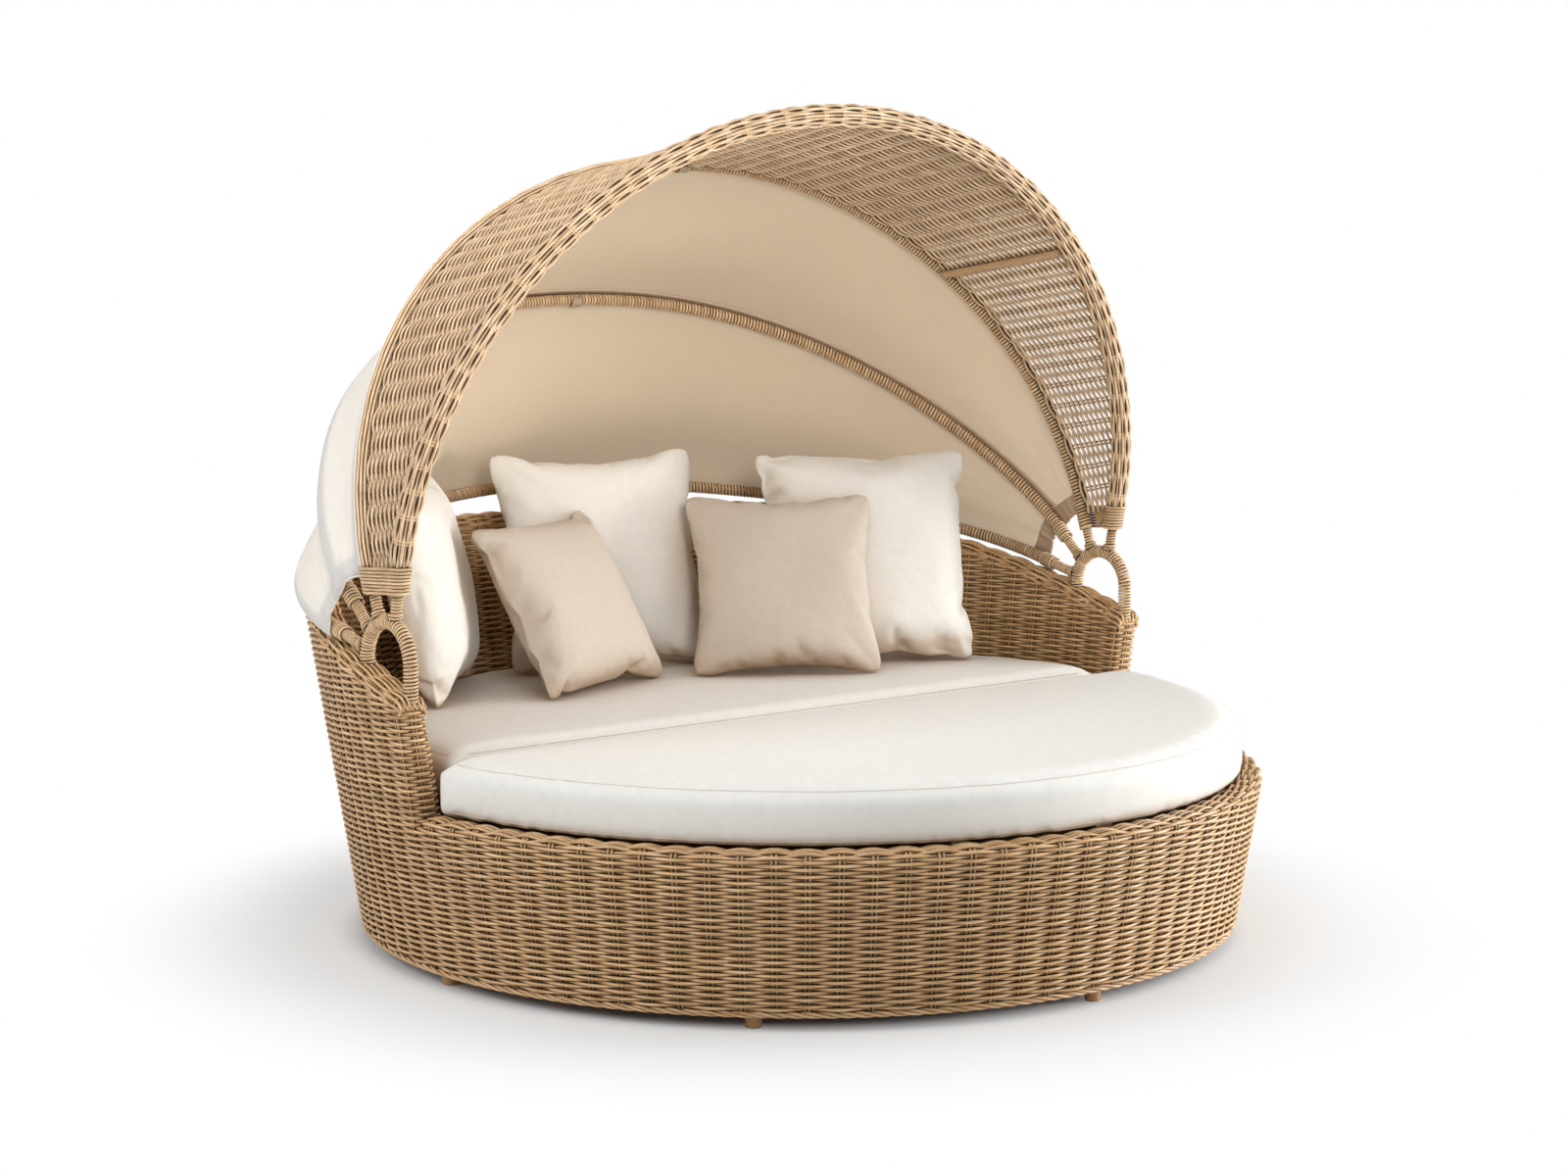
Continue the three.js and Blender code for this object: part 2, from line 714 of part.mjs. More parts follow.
function clothPoint(share, row, offset) {
  const near = station(row.span, share);
  const far = station(row.span + 1, share);
  const lift = (bowStation, index, turn) => {
    const radius = bowSpecs[index].radius + clothStandOff + offset;
    return bowStation.point.clone()
      .addScaledVector(bowStation.outward, radius * Math.cos(turn))
      .addScaledVector(bowStation.side, radius * Math.sin(turn));
  };
  const point = lift(near, row.span, 0).lerp(lift(far, row.span + 1, row.turn), row.share);
  const outward = near.outward.clone().lerp(far.outward, row.share).normalize();
  const fromEnd = Math.min(share, 1 - share) * bowLength;
  const fade = Math.exp(-fromEnd / foldReach);
  const across = Math.sin(Math.PI * row.share);
  const fold = foldDepth * fade * Math.sin(2 * Math.PI * row.share);
  const sag = clothSag * across ** 2 * Math.min(1, fromEnd / foldReach);
  return point.addScaledVector(outward, -sag - fold * across);
}

function canopyCloth() {
  const rows = clothRows();
  const grid = (offset) => columnShares(clothShare).map((share) =>
    rows.map((row) => clothPoint(share, row, offset)));
  return gridSolid(grid(clothThickness), grid(0));
}

// A small patch sewn inside a lower corner of the cloth, between two bows
function cornerPatch(span, side) {
  const rows = clothRows().filter((row) => row.span === span && row.share > 0 && row.share < 1);
  const shares = side > 0 ? [clothShare, 1 / bowSteps] : [1 - 1 / bowSteps, 1 - clothShare];
  const grid = (offset) => shares.map((share) => rows.map((row) => clothPoint(share, row, offset)));
  return gridSolid(grid(-gap - patchThickness), grid(-gap));
}

// A webbing strap round the inner side of a bow, at its top
function strap(index) {
  const { point, outward, side } = station(index, 1 / 2);
  const inner = bowSpecs[index].radius + strapStandOff;
  const sections = Array.from({ length: strapSteps + 1 }, (_, i) => {
    const turn = Math.PI - strapTurn / 2 + (strapTurn * i) / strapSteps;
    const ray = outward.clone().multiplyScalar(Math.cos(turn)).addScaledVector(side, Math.sin(turn));
    const corner = (radius, x) => point.clone().addScaledVector(ray, radius).setX(x);
    const outer = inner + strapThickness;
    return [corner(inner, -strapWidth / 2), corner(inner, strapWidth / 2),
      corner(outer, strapWidth / 2), corner(outer, -strapWidth / 2)];
  });
  return loft(sections);
}

// Seat cushions: half discs with a drawn-in side, a top seam and a low crown

function halfDisc(radius, split, forward, inset, height) {
  const edge = split + forward * inset;
  const reach = radius - inset;
  const corner = Math.asin((forward * edge) / reach);
  const arc = Array.from({ length: cushionSteps + 1 }, (_, i) => {
    const turn = corner + ((Math.PI - 2 * corner) * i) / cushionSteps;
    return new THREE.Vector3(reach * Math.cos(turn), forward * reach * Math.sin(turn), height);
  });
  const half = arc[0].x;
  const back = Array.from({ length: cushionSteps + 1 }, (_, i) =>
    new THREE.Vector3(-half + (2 * half * (i + 1 / 2)) / (cushionSteps + 1), edge, height));
  return [...arc, ...back];
}

function seatCushion(radius, split, forward) {
  const bottom = seatTop + gap;
  const levels = [
    [0, cushionEdgeInset],
    [cushionSeamHeight / 8, cushionDrawIn / 2],
    [cushionSeamHeight / 2, cushionDrawIn],
    [cushionSeamHeight, 0],
    [cushionSeamHeight + cushionCrown / 2, cushionEdgeInset],
    [cushionSeamHeight + cushionCrown, cushionShoulder],
  ];
  return loft(levels.map(([up, inset]) => halfDisc(radius, split, forward, inset, bottom + up)));
}

const pillowSeat = seatTop + gap + cushionSeamHeight + cushionCrown + gap;

// A knife-edge pillow: full in the middle, sides drawn in between its corners
function pillow({ widthShare, depthShare, placeShares, yaw, lean }) {
  const width = widthShare * rearCushionRadius;
  const depth = depthShare * rearCushionRadius;
  const [x, y] = placeShares.map((share) => share * rearCushionRadius);
  const shares = Array.from({ length: pillowCells + 1 }, (_, i) => -1 + (2 * i) / pillowCells);
  const fullPower = 0.55;
  const grid = (face) => shares.map((v) => shares.map((u) => {
    const draw = (across, along) => across * (1 - pillowDrawShare * (1 - along ** 2));
    const full = ((1 - u ** 2) * (1 - v ** 2)) ** fullPower;
    return new THREE.Vector3(draw(u, v) * (width / 2), -face * full * (depth / 2), draw(v, u) * (width / 2));
  }));
  const body = gridSolid(grid(1), grid(-1));
  body.rotateX(-THREE.MathUtils.degToRad(lean));
  body.rotateZ(THREE.MathUtils.degToRad(yaw));
  body.computeBoundingBox();
  return body.translate(x, y, pillowSeat - body.boundingBox.min.z);
}

// Assembly

const daybed = new THREE.Group();

function add(name, geometry, finish) {
  const mesh = new THREE.Mesh(geometry, new THREE.MeshStandardMaterial(finishes[finish]));
  mesh.name = name;
  daybed.add(mesh);
  return mesh;
}

add('base_ring', baseRing(), 'frame');
add('seat_ring', seatRing(), 'frame');
add('front_rail', frontRail(), 'frame');
add('arm_rail', armRail(), 'frame');
postAngles.forEach((angle, i) => add(`post_${i + 1}`, post(angle), 'frame'));
for (let i = -deckRailsEachSide; i <= deckRailsEachSide; i += 1) {
  add(`deck_rail_${i + deckRailsEachSide + 1}`, deckRail(i * deckSpacingShare * rimRadius), 'frame');
}
footAngles.forEach((angle, i) => {
  const mesh = add(`foot_${i + 1}`, foot(), 'foot');
  mesh.position.copy(polar(footRingRadius, angle, 0));
  mesh.rotation.z = angle;
});

add('weave_outer', outerWeave(), 'wicker');
add('weave_inner', innerWeave(), 'wicker');
add('braid_arms', armBraid(), 'wicker');
add('braid_front', frontBraid(), 'wicker');
add('border_bottom', bottomBorder(), 'wicker');

add('hub_loop_right', hubLoop(1), 'wrap');
add('hub_loop_left', hubLoop(-1), 'wrap');
bowSpecs.forEach((spec, i) => add(spec.name, bow(i), 'wrap'));

add('hood_panel', hoodPanel(), 'wicker');
const wrap = hoodWrap();
add('hood_wrap_right', wrap, 'wrap');
add('hood_wrap_left', mirrored(wrap), 'wrap');
const plate = hoodPlate();
add('hood_plate_right', plate, 'trim');
add('hood_plate_left', mirrored(plate), 'trim');
add('tie_bar_right', tieBar(tieShare), 'wrap');
add('tie_bar_left', tieBar(1 - tieShare), 'wrap');

add('canopy_cloth', canopyCloth(), 'cloth');
['upper', 'lower'].forEach((place, i) => {
  add(`patch_${place}_right`, cornerPatch(i + 1, 1), 'trim');
  add(`patch_${place}_left`, cornerPatch(i + 1, -1), 'trim');
});
add('strap_bow_2', strap(1), 'trim');
add('strap_bow_3', strap(2), 'trim');

add('seat_cushion_front', seatCushion(frontCushionRadius, cushionSplit - gap, -1), 'seat');
add('seat_cushion_rear', seatCushion(rearCushionRadius, cushionSplit, 1), 'seat');
pillowSpecs.forEach((spec) => add(spec.name, pillow(spec), spec.soft));

const rearReach = outerRadius(armBraidBottom(Math.PI / 2)) + braidOverhang;
const frontReach = outerRadius(frontBraidBottom) + borderOverhang;
daybed.position.y = (frontReach - rearReach) / 2;

export default daybed;
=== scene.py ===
import bisect
import math
import random

import bmesh
import bpy
from mathutils import Matrix, Vector, noise
from mathutils.bvhtree import BVHTree


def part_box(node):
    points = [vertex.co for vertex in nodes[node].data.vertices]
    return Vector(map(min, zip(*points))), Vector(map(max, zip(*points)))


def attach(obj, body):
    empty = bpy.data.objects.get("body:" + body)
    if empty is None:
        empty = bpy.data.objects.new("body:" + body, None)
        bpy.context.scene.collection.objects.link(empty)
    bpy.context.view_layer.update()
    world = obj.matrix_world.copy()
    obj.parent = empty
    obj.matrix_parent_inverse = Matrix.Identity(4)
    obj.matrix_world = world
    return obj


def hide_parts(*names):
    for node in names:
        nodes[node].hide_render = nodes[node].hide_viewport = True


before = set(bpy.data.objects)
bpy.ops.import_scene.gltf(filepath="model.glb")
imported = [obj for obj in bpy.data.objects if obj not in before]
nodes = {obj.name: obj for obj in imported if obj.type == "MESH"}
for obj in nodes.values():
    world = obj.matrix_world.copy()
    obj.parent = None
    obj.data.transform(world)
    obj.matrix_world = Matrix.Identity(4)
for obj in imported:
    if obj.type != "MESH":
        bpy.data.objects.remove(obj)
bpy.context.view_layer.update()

# The studio: a white sweep under a broad soft light, seen as the photographer saw it.
# The floor is matt and takes the shadow, and fades to plain white away from the daybed.

scene = bpy.context.scene
scene.view_settings.view_transform = "Standard"

camera = bpy.data.objects.new("camera", bpy.data.cameras.new("camera"))
scene.collection.objects.link(camera)
camera.data.lens = 70.84
camera.data.sensor_width = 36
camera.data.clip_end = 60
camera.location = (-3.968, -4.8393, 1.455)
camera.rotation_euler = Vector((0.6284, 0.7683, -0.1216)).to_track_quat("-Z", "Y").to_euler()
scene.camera = camera


def new_piece(name, form):
    """A smooth object made from a bmesh, which is freed."""
    mesh = bpy.data.meshes.new(name)
    form.to_mesh(mesh)
    form.free()
    mesh.shade_smooth()
    piece = bpy.data.objects.new(name, mesh)
    scene.collection.objects.link(piece)
    return piece


def new_material(name):
    """An empty node material, its node tree and its output."""
    material = bpy.data.materials.new(name)
    material.use_nodes = True
    material.node_tree.nodes.clear()
    output = material.node_tree.nodes.new("ShaderNodeOutputMaterial")
    return material, material.node_tree, output


def add_node(tree, kind, inputs, **settings):
    """A new shader node: an input given a socket is joined to it, any other is set to the value."""
    made = tree.nodes.new(kind)
    for key, value in settings.items():
        setattr(made, key, value)
    for key, value in inputs.items():
        if isinstance(value, bpy.types.NodeSocket):
            tree.links.new(value, made.inputs[key])
        else:
            made.inputs[key].default_value = value
    return made


def combined(tree, operation, first, second):
    """The result of a calculation with two values."""
    return add_node(tree, "ShaderNodeMath", {0: first, 1: second}, operation=operation).outputs[0]


def add_ramp(tree, value, low, between, high):
    """A colour ramp read at a value, with three stops given as (place, colour)."""
    ramp = add_node(tree, "ShaderNodeValToRGB", {"Fac": value})
    stops = ramp.color_ramp.elements
    for stop, (place, colour) in ((stops[0], low), (stops[1], high)):
        stop.position = place
        stop.color = (*colour, 1)
    stops.new(between[0]).color = (*between[1], 1)
    return ramp


floor_form = bmesh.new()
bmesh.ops.create_circle(floor_form, cap_ends=True, segments=96, radius=20)
floor = new_piece("floor", floor_form)

sweep, tree, output = new_material("white sweep")
matt = add_node(tree, "ShaderNodeBsdfDiffuse", {"Color": (0.80, 0.80, 0.80, 1)})
paper = add_node(tree, "ShaderNodeEmission", {"Color": (1, 1, 1, 1), "Strength": 1})
rays = add_node(tree, "ShaderNodeLightPath", {}).outputs
seen = combined(tree, "MAXIMUM", rays["Is Camera Ray"], rays["Is Glossy Ray"])
clear = combined(tree, "MAXIMUM", seen, rays["Is Transmission Ray"])
place = add_node(tree, "ShaderNodeTexCoord", {}).outputs["Object"]
length = add_node(tree, "ShaderNodeVectorMath", {0: place}, operation="LENGTH").outputs["Value"]
reach = add_node(tree, "ShaderNodeMapRange", {"Value": length, "From Max": 2.0}).outputs["Result"]
fade = add_ramp(tree, reach, (0.42, (0, 0, 0)), (0.47, (0.42, 0.42, 0.42)), (0.72, (1, 1, 1)))
fade.color_ramp.interpolation = "EASE"
share = combined(tree, "MULTIPLY", clear, fade.outputs["Color"])
mix = add_node(tree, "ShaderNodeMixShader", {0: share, 1: matt.outputs[0], 2: paper.outputs[0]})
tree.links.new(mix.outputs[0], output.inputs["Surface"])
floor.data.materials.append(sweep)

world = bpy.data.worlds.new("white room")
world.use_nodes = True
scene.world = world
tree = world.node_tree
rays = add_node(tree, "ShaderNodeLightPath", {}).outputs
level = add_node(tree, "ShaderNodeMapRange", {"Value": rays["Is Camera Ray"], "To Min": 0.25, "To Max": 1})
background = tree.nodes["Background"]
background.inputs["Color"].default_value = (1, 1, 1, 1)
tree.links.new(level.outputs["Result"], background.inputs["Strength"])


def softbox(name, place, aim, size, power, spread=180):
    """A square lamp at a place, facing an aim point; a grid narrows its spread."""
    lamp = bpy.data.objects.new(name, bpy.data.lights.new(name, "AREA"))
    lamp.data.shape = "SQUARE"
    lamp.data.size = size
    lamp.data.energy = power
    lamp.data.spread = math.radians(spread)
    lamp.location = place
    lamp.rotation_euler = (Vector(aim) - Vector(place)).to_track_quat("-Z", "Y").to_euler()
    scene.collection.objects.link(lamp)


softbox("overhead softbox", (-0.2, -0.5, 5.0), (0, 0, 0.5), 4.0, 86)
softbox("high front softbox", (-1.4, -4.8, 3.8), (0, 0.1, 0.8), 2.6, 20)
softbox("right softbox", (4.2, -2.2, 1.9), (0, 0, 0.6), 2.2, 112)
softbox("low right softbox", (3.4, -2.8, 0.40), (0.5, -0.7, 0.15), 1.0, 15, 60)
softbox("left softbox", (-4.5, 1.0, 2.7), (0, 0, 0.8), 2.2, 100)
softbox("gridded fill", (-1.8, -3.3, 1.95), (0.15, 0.6, 1.12), 0.9, 5.6, 44)

# The tub's woven wall: round resin strands, laid in front of and behind pairs of upright stakes.
# Every row swaps sides with the row below it. The wall is hollow, and its rows run round both
# arm ends; towards the back the arms rise, and the rows there stop under the sloping arm top.

tub_axis_y = -0.03562
rim_radius = 0.940
rim_height = 0.336
flare = 0.16
wall = 0.065
arm_end_height = 0.565
arm_rise = 0.210
arm_rise_angle = math.radians(65)
stake_pairs = 98
pair_step = 2 * math.pi / stake_pairs
pair_half_gap = 0.0038
row_pitch = 0.0064
strand_thickness = 0.0066
swing = 0.0046
squeeze = 0.12
outer_setback = 0.0055
inner_setback = wall - 0.0055
rows_start = 0.0415
split_row = 21
low_rows = 43
arm_top_depth = 0.022
open_row_reach = 0.004
open_end_reach = 0.006
row_stops = (0.117, 0.367, 0.633, 0.883)
end_stops = (0.1, 0.3, 0.5, 0.7, 0.9)


def tub_radius(height):
    return rim_radius + flare * (height - rim_height)


def tub_point(angle, height, setback):
    radius = tub_radius(height) - setback
    return Vector((radius * math.cos(angle), radius * math.sin(angle) + tub_axis_y, height))


def arm_top(angle):
    from_end = max(0.0, min(angle, math.pi - angle))
    return arm_end_height + arm_rise * math.sin(min(from_end / arm_rise_angle, 1) * math.pi / 2)


def row_places(first, last):
    """The places of a row's points, counted in stake pairs."""
    return [i + f for i in range(first, last) for f in row_stops]


def weave_side(s):
    """How far a row lies in front of the stakes at a place counted in stake pairs, from -1 to 1."""
    return max(-1.0, min(1.0, 1.12 * math.cos(math.pi * s)))


def weave_out(row, s):
    """How far a row of the tub stands out from the stakes' line at a place."""
    return (-1) ** row * swing * weave_side(s)


def strands(name, paths, thickness, closed=False, seed=1, woven=()):
    """One mesh of round strands along paths, each with its run, turn and own number kept for the material."""
    curve = bpy.data.curves.new(name, "CURVE")
    curve.dimensions = "3D"
    curve.bevel_depth = thickness / 2
    curve.bevel_resolution = 1
    for path in paths:
        spline = curve.splines.new("POLY")
        spline.points.add(len(path) - 1)
        spline.points.foreach_set("co", [c for p in path for c in (p[0], p[1], p[2], 1.0)])
        if woven:
            widths = [1 - squeeze * (1 - abs(woven[i % len(woven)])) for i in range(len(path))]
            spline.points.foreach_set("radius", widths)
        spline.use_cyclic_u = closed
    draft = bpy.data.objects.new(name + " draft", curve)
    scene.collection.objects.link(draft)
    bpy.context.view_layer.update()
    mesh = bpy.data.meshes.new_from_object(draft.evaluated_get(bpy.context.evaluated_depsgraph_get()))
    bpy.data.objects.remove(draft)
    bpy.data.curves.remove(curve)
    mesh.name = name
    mesh.shade_smooth()
    sides = len(mesh.vertices) // sum(len(path) for path in paths)
    dice = random.Random(seed)
    lay = []
    for path in paths:
        own = dice.random() * 50
        run = dice.random()
        last = path[0]
        for point in path:
            run += math.dist(point, last)
            last = point
            for side in range(sides):
                lay += (run, side / sides, own)
    kept = mesh.attributes.new("lay", "FLOAT_VECTOR", "POINT")
    kept.data.foreach_set("vector", lay)
    if not closed:
        form = bmesh.new()
        form.from_mesh(mesh)
        bmesh.ops.holes_fill(form, edges=[e for e in form.edges if e.is_boundary], sides=sides)
        form.to_mesh(mesh)
        form.free()
        mesh.shade_smooth()
    piece = bpy.data.objects.new(name, mesh)
    scene.collection.objects.link(piece)
    return piece


def wicker_material(name, dark, middle, light, painted_nook_shade=(0.15, 0.80, 0.22)):
    """Extruded resin strand: fine streaks, each strand a little lighter or darker, and painted shade that
    darkens the nooks.
    The painted nook shade is given as how open the darkest and the lightest places are, and the darkest
    level."""
    material, tree, output = new_material(name)
    lay = add_node(tree, "ShaderNodeAttribute", {}, attribute_name="lay").outputs["Vector"]
    stretch = add_node(tree, "ShaderNodeVectorMath", {0: lay, 1: (26, 5, 7)}, operation="MULTIPLY").outputs[0]
    streak = add_node(tree, "ShaderNodeTexNoise", {"Vector": stretch, "Scale": 1, "Detail": 4}).outputs["Fac"]
    ramp = add_ramp(tree, streak, (0.3, dark), (0.5, middle), (0.72, light))
    number = add_node(tree, "ShaderNodeSeparateXYZ", {0: lay}).outputs["Z"]
    chance = add_node(tree, "ShaderNodeTexWhiteNoise", {"W": number}, noise_dimensions="1D").outputs["Value"]
    shade = add_node(tree, "ShaderNodeMapRange", {"Value": chance, "To Min": 0.84, "To Max": 1.14})
    # Painted shade: ambient occlusion darkens the strand colour where the strands lie close together.
    nook = add_node(tree, "ShaderNodeAmbientOcclusion", {"Distance": 0.016}, samples=4).outputs["AO"]
    painted_shade_factor = add_node(tree, "ShaderNodeMapRange", {
        "Value": nook, "From Min": painted_nook_shade[0], "From Max": painted_nook_shade[1], "To Min": painted_nook_shade[2]})
    level = combined(tree, "MULTIPLY", shade.outputs["Result"], painted_shade_factor.outputs["Result"])
    shaded = add_node(tree, "ShaderNodeHueSaturation", {"Value": level, "Color": ramp.outputs["Color"]})
    gloss = add_node(tree, "ShaderNodeMapRange", {"Value": streak, "To Min": 0.28, "To Max": 0.48})
    grain = add_node(tree, "ShaderNodeVectorMath", {0: lay, 1: (60, 14, 7)}, operation="MULTIPLY").outputs[0]
    lines = add_node(tree, "ShaderNodeTexNoise", {"Vector": grain, "Scale": 1, "Detail": 2}).outputs["Fac"]
    bump = add_node(tree, "ShaderNodeBump", {"Height": lines, "Strength": 0.35, "Distance": 0.0006})
    shader = add_node(tree, "ShaderNodeBsdfPrincipled", {
        "Base Color": shaded.outputs["Color"], "Roughness": gloss.outputs["Result"],
        "Specular IOR Level": 0.5, "Normal": bump.outputs["Normal"]})
    tree.links.new(shader.outputs[0], output.inputs["Surface"])
    return material


def dress(piece, material, body="base", replaced=()):
    """Gives a piece its material, its body and the CAD nodes that it stands for."""
    piece.data.materials.append(material)
    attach(piece, body)
    if replaced:
        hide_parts(*replaced)


honey_wicker = wicker_material("honey wicker", (0.44, 0.24, 0.095), (0.68, 0.42, 0.20), (0.88, 0.63, 0.37))
# A paler, less saturated copy of the honey wicker for the hood and the front bow: painted light, standing in
# for the stronger light on them. Its last numbers give it a deeper painted shade in the nooks.
painted_light_wicker = wicker_material("pale wicker", (0.50, 0.31, 0.16), (0.75, 0.52, 0.31), (0.93, 0.73, 0.50),
                              (0.30, 0.74, 0.10))


def ring_row(row):
    """A row that runs round the whole outside of the tub, below the front rim."""
    height = rows_start + row * row_pitch
    return [tub_point(s * pair_step, height, outer_setback - weave_out(row, s))
            for s in row_places(0, stake_pairs)]


sides_at_stops = [weave_side(f) for f in row_stops]
for name, first, last, seed in (("lower", 0, split_row, 1), ("upper", split_row, low_rows, 2)):
    rows = [ring_row(row) for row in range(first, last)]
    dress(strands(f"weave_{name}_band", rows, strand_thickness, True, seed, sides_at_stops), honey_wicker)

arm_intervals = 49
turn_radius = 0.014
turn_straight = 0.0001


def rolled(d, rise, roll, flat, far_roll):
    """(across, up, outward across, outward up) over an edge that rises, rolls over, runs flat and rolls
    down, at a distance along it."""
    if d < rise:
        return 0, d, -1, 0
    d -= rise
    if d < roll * math.pi / 2:
        a = d / roll
        return roll * (1 - math.cos(a)), rise + roll * math.sin(a), -math.cos(a), math.sin(a)
    d -= roll * math.pi / 2
    if d < flat:
        return roll + d, rise + roll, 0, 1
    d -= flat
    if d < far_roll * math.pi / 2:
        a = d / far_roll
        return (roll + flat + far_roll * math.sin(a), rise + roll - far_roll * (1 - math.cos(a)),
                math.sin(a), math.cos(a))
    d -= far_roll * math.pi / 2
    return roll + flat + far_roll, rise + roll - far_roll - d, 1, 0


def arm_end_turn(share, height, side, out):
    """A place on the rounded end of an arm wall, from its outer face (0) to its inner face (1)."""
    flat = inner_setback - outer_setback - 2 * turn_radius
    way = share * (2 * turn_straight + math.pi * turn_radius + flat)
    across, forward, out_across, out_forward = rolled(way, turn_straight, turn_radius, flat, turn_radius)
    radius = tub_radius(height) - outer_setback - across - out_across * out
    return Vector((side * radius, tub_axis_y - forward - out_forward * out, height))


def arm_loop_row(row):
    """A row round the hollow wall: over the outer face, the left end, the inner face and the right end."""
    height = rows_start + row * row_pitch
    path = []
    for i in range(2 * arm_intervals + 4):
        on_face = i < arm_intervals or arm_intervals + 2 <= i < 2 * arm_intervals + 2
        for f in row_stops if on_face else end_stops:
            s = i + f
            out = weave_out(row, s)
            if s < arm_intervals:
                path.append(tub_point(s * pair_step, height, outer_setback - out))
            elif s < arm_intervals + 2:
                path.append(arm_end_turn((s - arm_intervals) / 2, height, -1, out))
            elif s < 2 * arm_intervals + 2:
                path.append(tub_point((2 * arm_intervals + 2 - s) * pair_step, height, inner_setback + out))
            else:
                path.append(arm_end_turn((2 * arm_intervals + 4 - s) / 2, height, 1, out))
    return path


first_open_row = int((arm_end_height - arm_top_depth - rows_start) / row_pitch)
arm_loops = [arm_loop_row(row) for row in range(low_rows, first_open_row)]
dress(strands("weave_arm_band", arm_loops, strand_thickness, True, 3), honey_wicker)


def open_rows(setback, face):
    """The rows of one face that end under the sloping arm top."""
    paths = []
    row = first_open_row
    while rows_start + row * row_pitch < arm_end_height + arm_rise - arm_top_depth + open_row_reach:
        height = rows_start + row * row_pitch
        stops = [s for s in row_places(0, arm_intervals)
                 if arm_top(s * pair_step) - arm_top_depth + open_end_reach > height]
        if len(stops) > 4:
            paths.append([tub_point(s * pair_step, height, setback - face * weave_out(row, s))
                          for s in stops])
        row += 1
    return paths


dress(strands("weave_back_band", open_rows(outer_setback, 1) + open_rows(inner_setback, -1),
              strand_thickness, False, 4), honey_wicker)

# Painted shade: a dark backing band behind each face of the wall, standing in for the shade inside the
# hollow wall, seen only as the brown in the gaps of the weave, and one more inside the front rim, just
# under the edge of the front cushion, as painted shade there too.

shade_backing_setback = 0.0175
shade_backing_bands = [
    (0, 2 * math.pi, 0.045, 0.321, shade_backing_setback),
    (math.pi - 0.3, 2 * math.pi + 0.3, 0.285, rim_height, wall + 0.012),
    (0.01, math.pi - 0.01, 0.32, None, shade_backing_setback),
    (0.01, math.pi - 0.01, 0.32, None, wall - shade_backing_setback),
]
shade_backing_form = bmesh.new()
for low_angle, high_angle, low, level, setback in shade_backing_bands:
    band = bmesh.ops.create_grid(shade_backing_form, x_segments=160, y_segments=4, size=1)
    for vertex in band["verts"]:
        angle = low_angle + (high_angle - low_angle) * (vertex.co.x + 1) / 2
        high = level or arm_top(angle) - 0.034
        vertex.co = tub_point(angle, low + (high - low) * (vertex.co.y + 1) / 2, setback)
bmesh.ops.remove_doubles(shade_backing_form, verts=shade_backing_form.verts, dist=1e-5)
bmesh.ops.recalc_face_normals(shade_backing_form, faces=shade_backing_form.faces)
shade_backing = new_piece("weave_shade_backing", shade_backing_form)


def thicken(piece, thickness):
    """Gives a surface a thickness, half of it on each side."""
    shell = piece.modifiers.new("thickness", "SOLIDIFY")
    shell.thickness = thickness
    shell.offset = 0
    return shell


def mottled(name, dark, light, scale, detail, inputs):
    """A material of two mixed colours, with its node tree, its shader and the noise that mixes them."""
    material, tree, output = new_material(name)
    place = add_node(tree, "ShaderNodeTexCoord", {}).outputs["Object"]
    speck = add_node(tree, "ShaderNodeTexNoise", {"Vector": place, "Scale": scale, "Detail": detail})
    speck = speck.outputs["Fac"]
    tint = add_node(tree, "ShaderNodeMixRGB", {"Fac": speck, "Color1": (*dark, 1), "Color2": (*light, 1)})
    shader = add_node(tree, "ShaderNodeBsdfPrincipled", {"Base Color": tint.outputs["Color"], **inputs})
    tree.links.new(shader.outputs[0], output.inputs["Surface"])
    return material, tree, shader, speck


thicken(shade_backing, 0.0015)
# The dark colour of the backing is painted shade.
painted_shade_backing = mottled("dark backing", (0.075, 0.040, 0.018), (0.12, 0.066, 0.030), 90, 2,
                       {"Roughness": 0.9, "Specular IOR Level": 0.2})[0]
dress(shade_backing, painted_shade_backing)

# The front rim and the arm tops: the same weave rolls over the edge of the wall, so that the
# stakes come up one face, cross the top in pairs and go down the other face.

rim_start = 0.3140
rim_rise = 0.003
rim_roll = 0.011
rim_flat = 0.031
rim_inner_roll = 0.007
rim_drop = 0.004
rim_length = rim_rise + (rim_roll + rim_inner_roll) * math.pi / 2 + rim_flat + rim_drop
rim_rows = 10


def rim_profile(d):
    """(setback, height, outward setback, outward height) along the front rim's section."""
    across, up, out_setback, out_height = rolled(d, rim_rise, rim_roll, rim_flat, rim_inner_roll)
    return outer_setback + across, rim_start + up, out_setback, out_height


rim_paths = []
for row in range(rim_rows):
    setback, height, out_setback, out_height = rim_profile((row + 0.4) * rim_length / rim_rows)
    path = []
    for s in row_places(arm_intervals, stake_pairs):
        if arm_intervals + 0.55 < s < stake_pairs - 0.55:
            out = weave_out(low_rows + row, s)
            path.append(tub_point(s * pair_step, height + out * out_height, setback + out * out_setback))
    rim_paths.append(path)
front_rim = strands("front_rim_rows", rim_paths, strand_thickness, False, 5)
dress(front_rim, honey_wicker, replaced=["braid_front"])

arm_roll = 0.015
arm_sink = 0.008
arm_side = 0.006
arm_outset = 0.0005
arm_flat = inner_setback - outer_setback + 2 * arm_outset - 2 * arm_roll
arm_length = 2 * arm_side + math.pi * arm_roll + arm_flat
arm_bend = 0.016
arm_rows = 17


def arm_profile(d):
    """(setback, drop below the arm top, outward setback, outward height) over the top of an arm."""
    across, up, out_setback, out_height = rolled(d, arm_side, arm_roll, arm_flat, arm_roll)
    return outer_setback - arm_outset + across, arm_sink + arm_roll + arm_side - up, out_setback, out_height


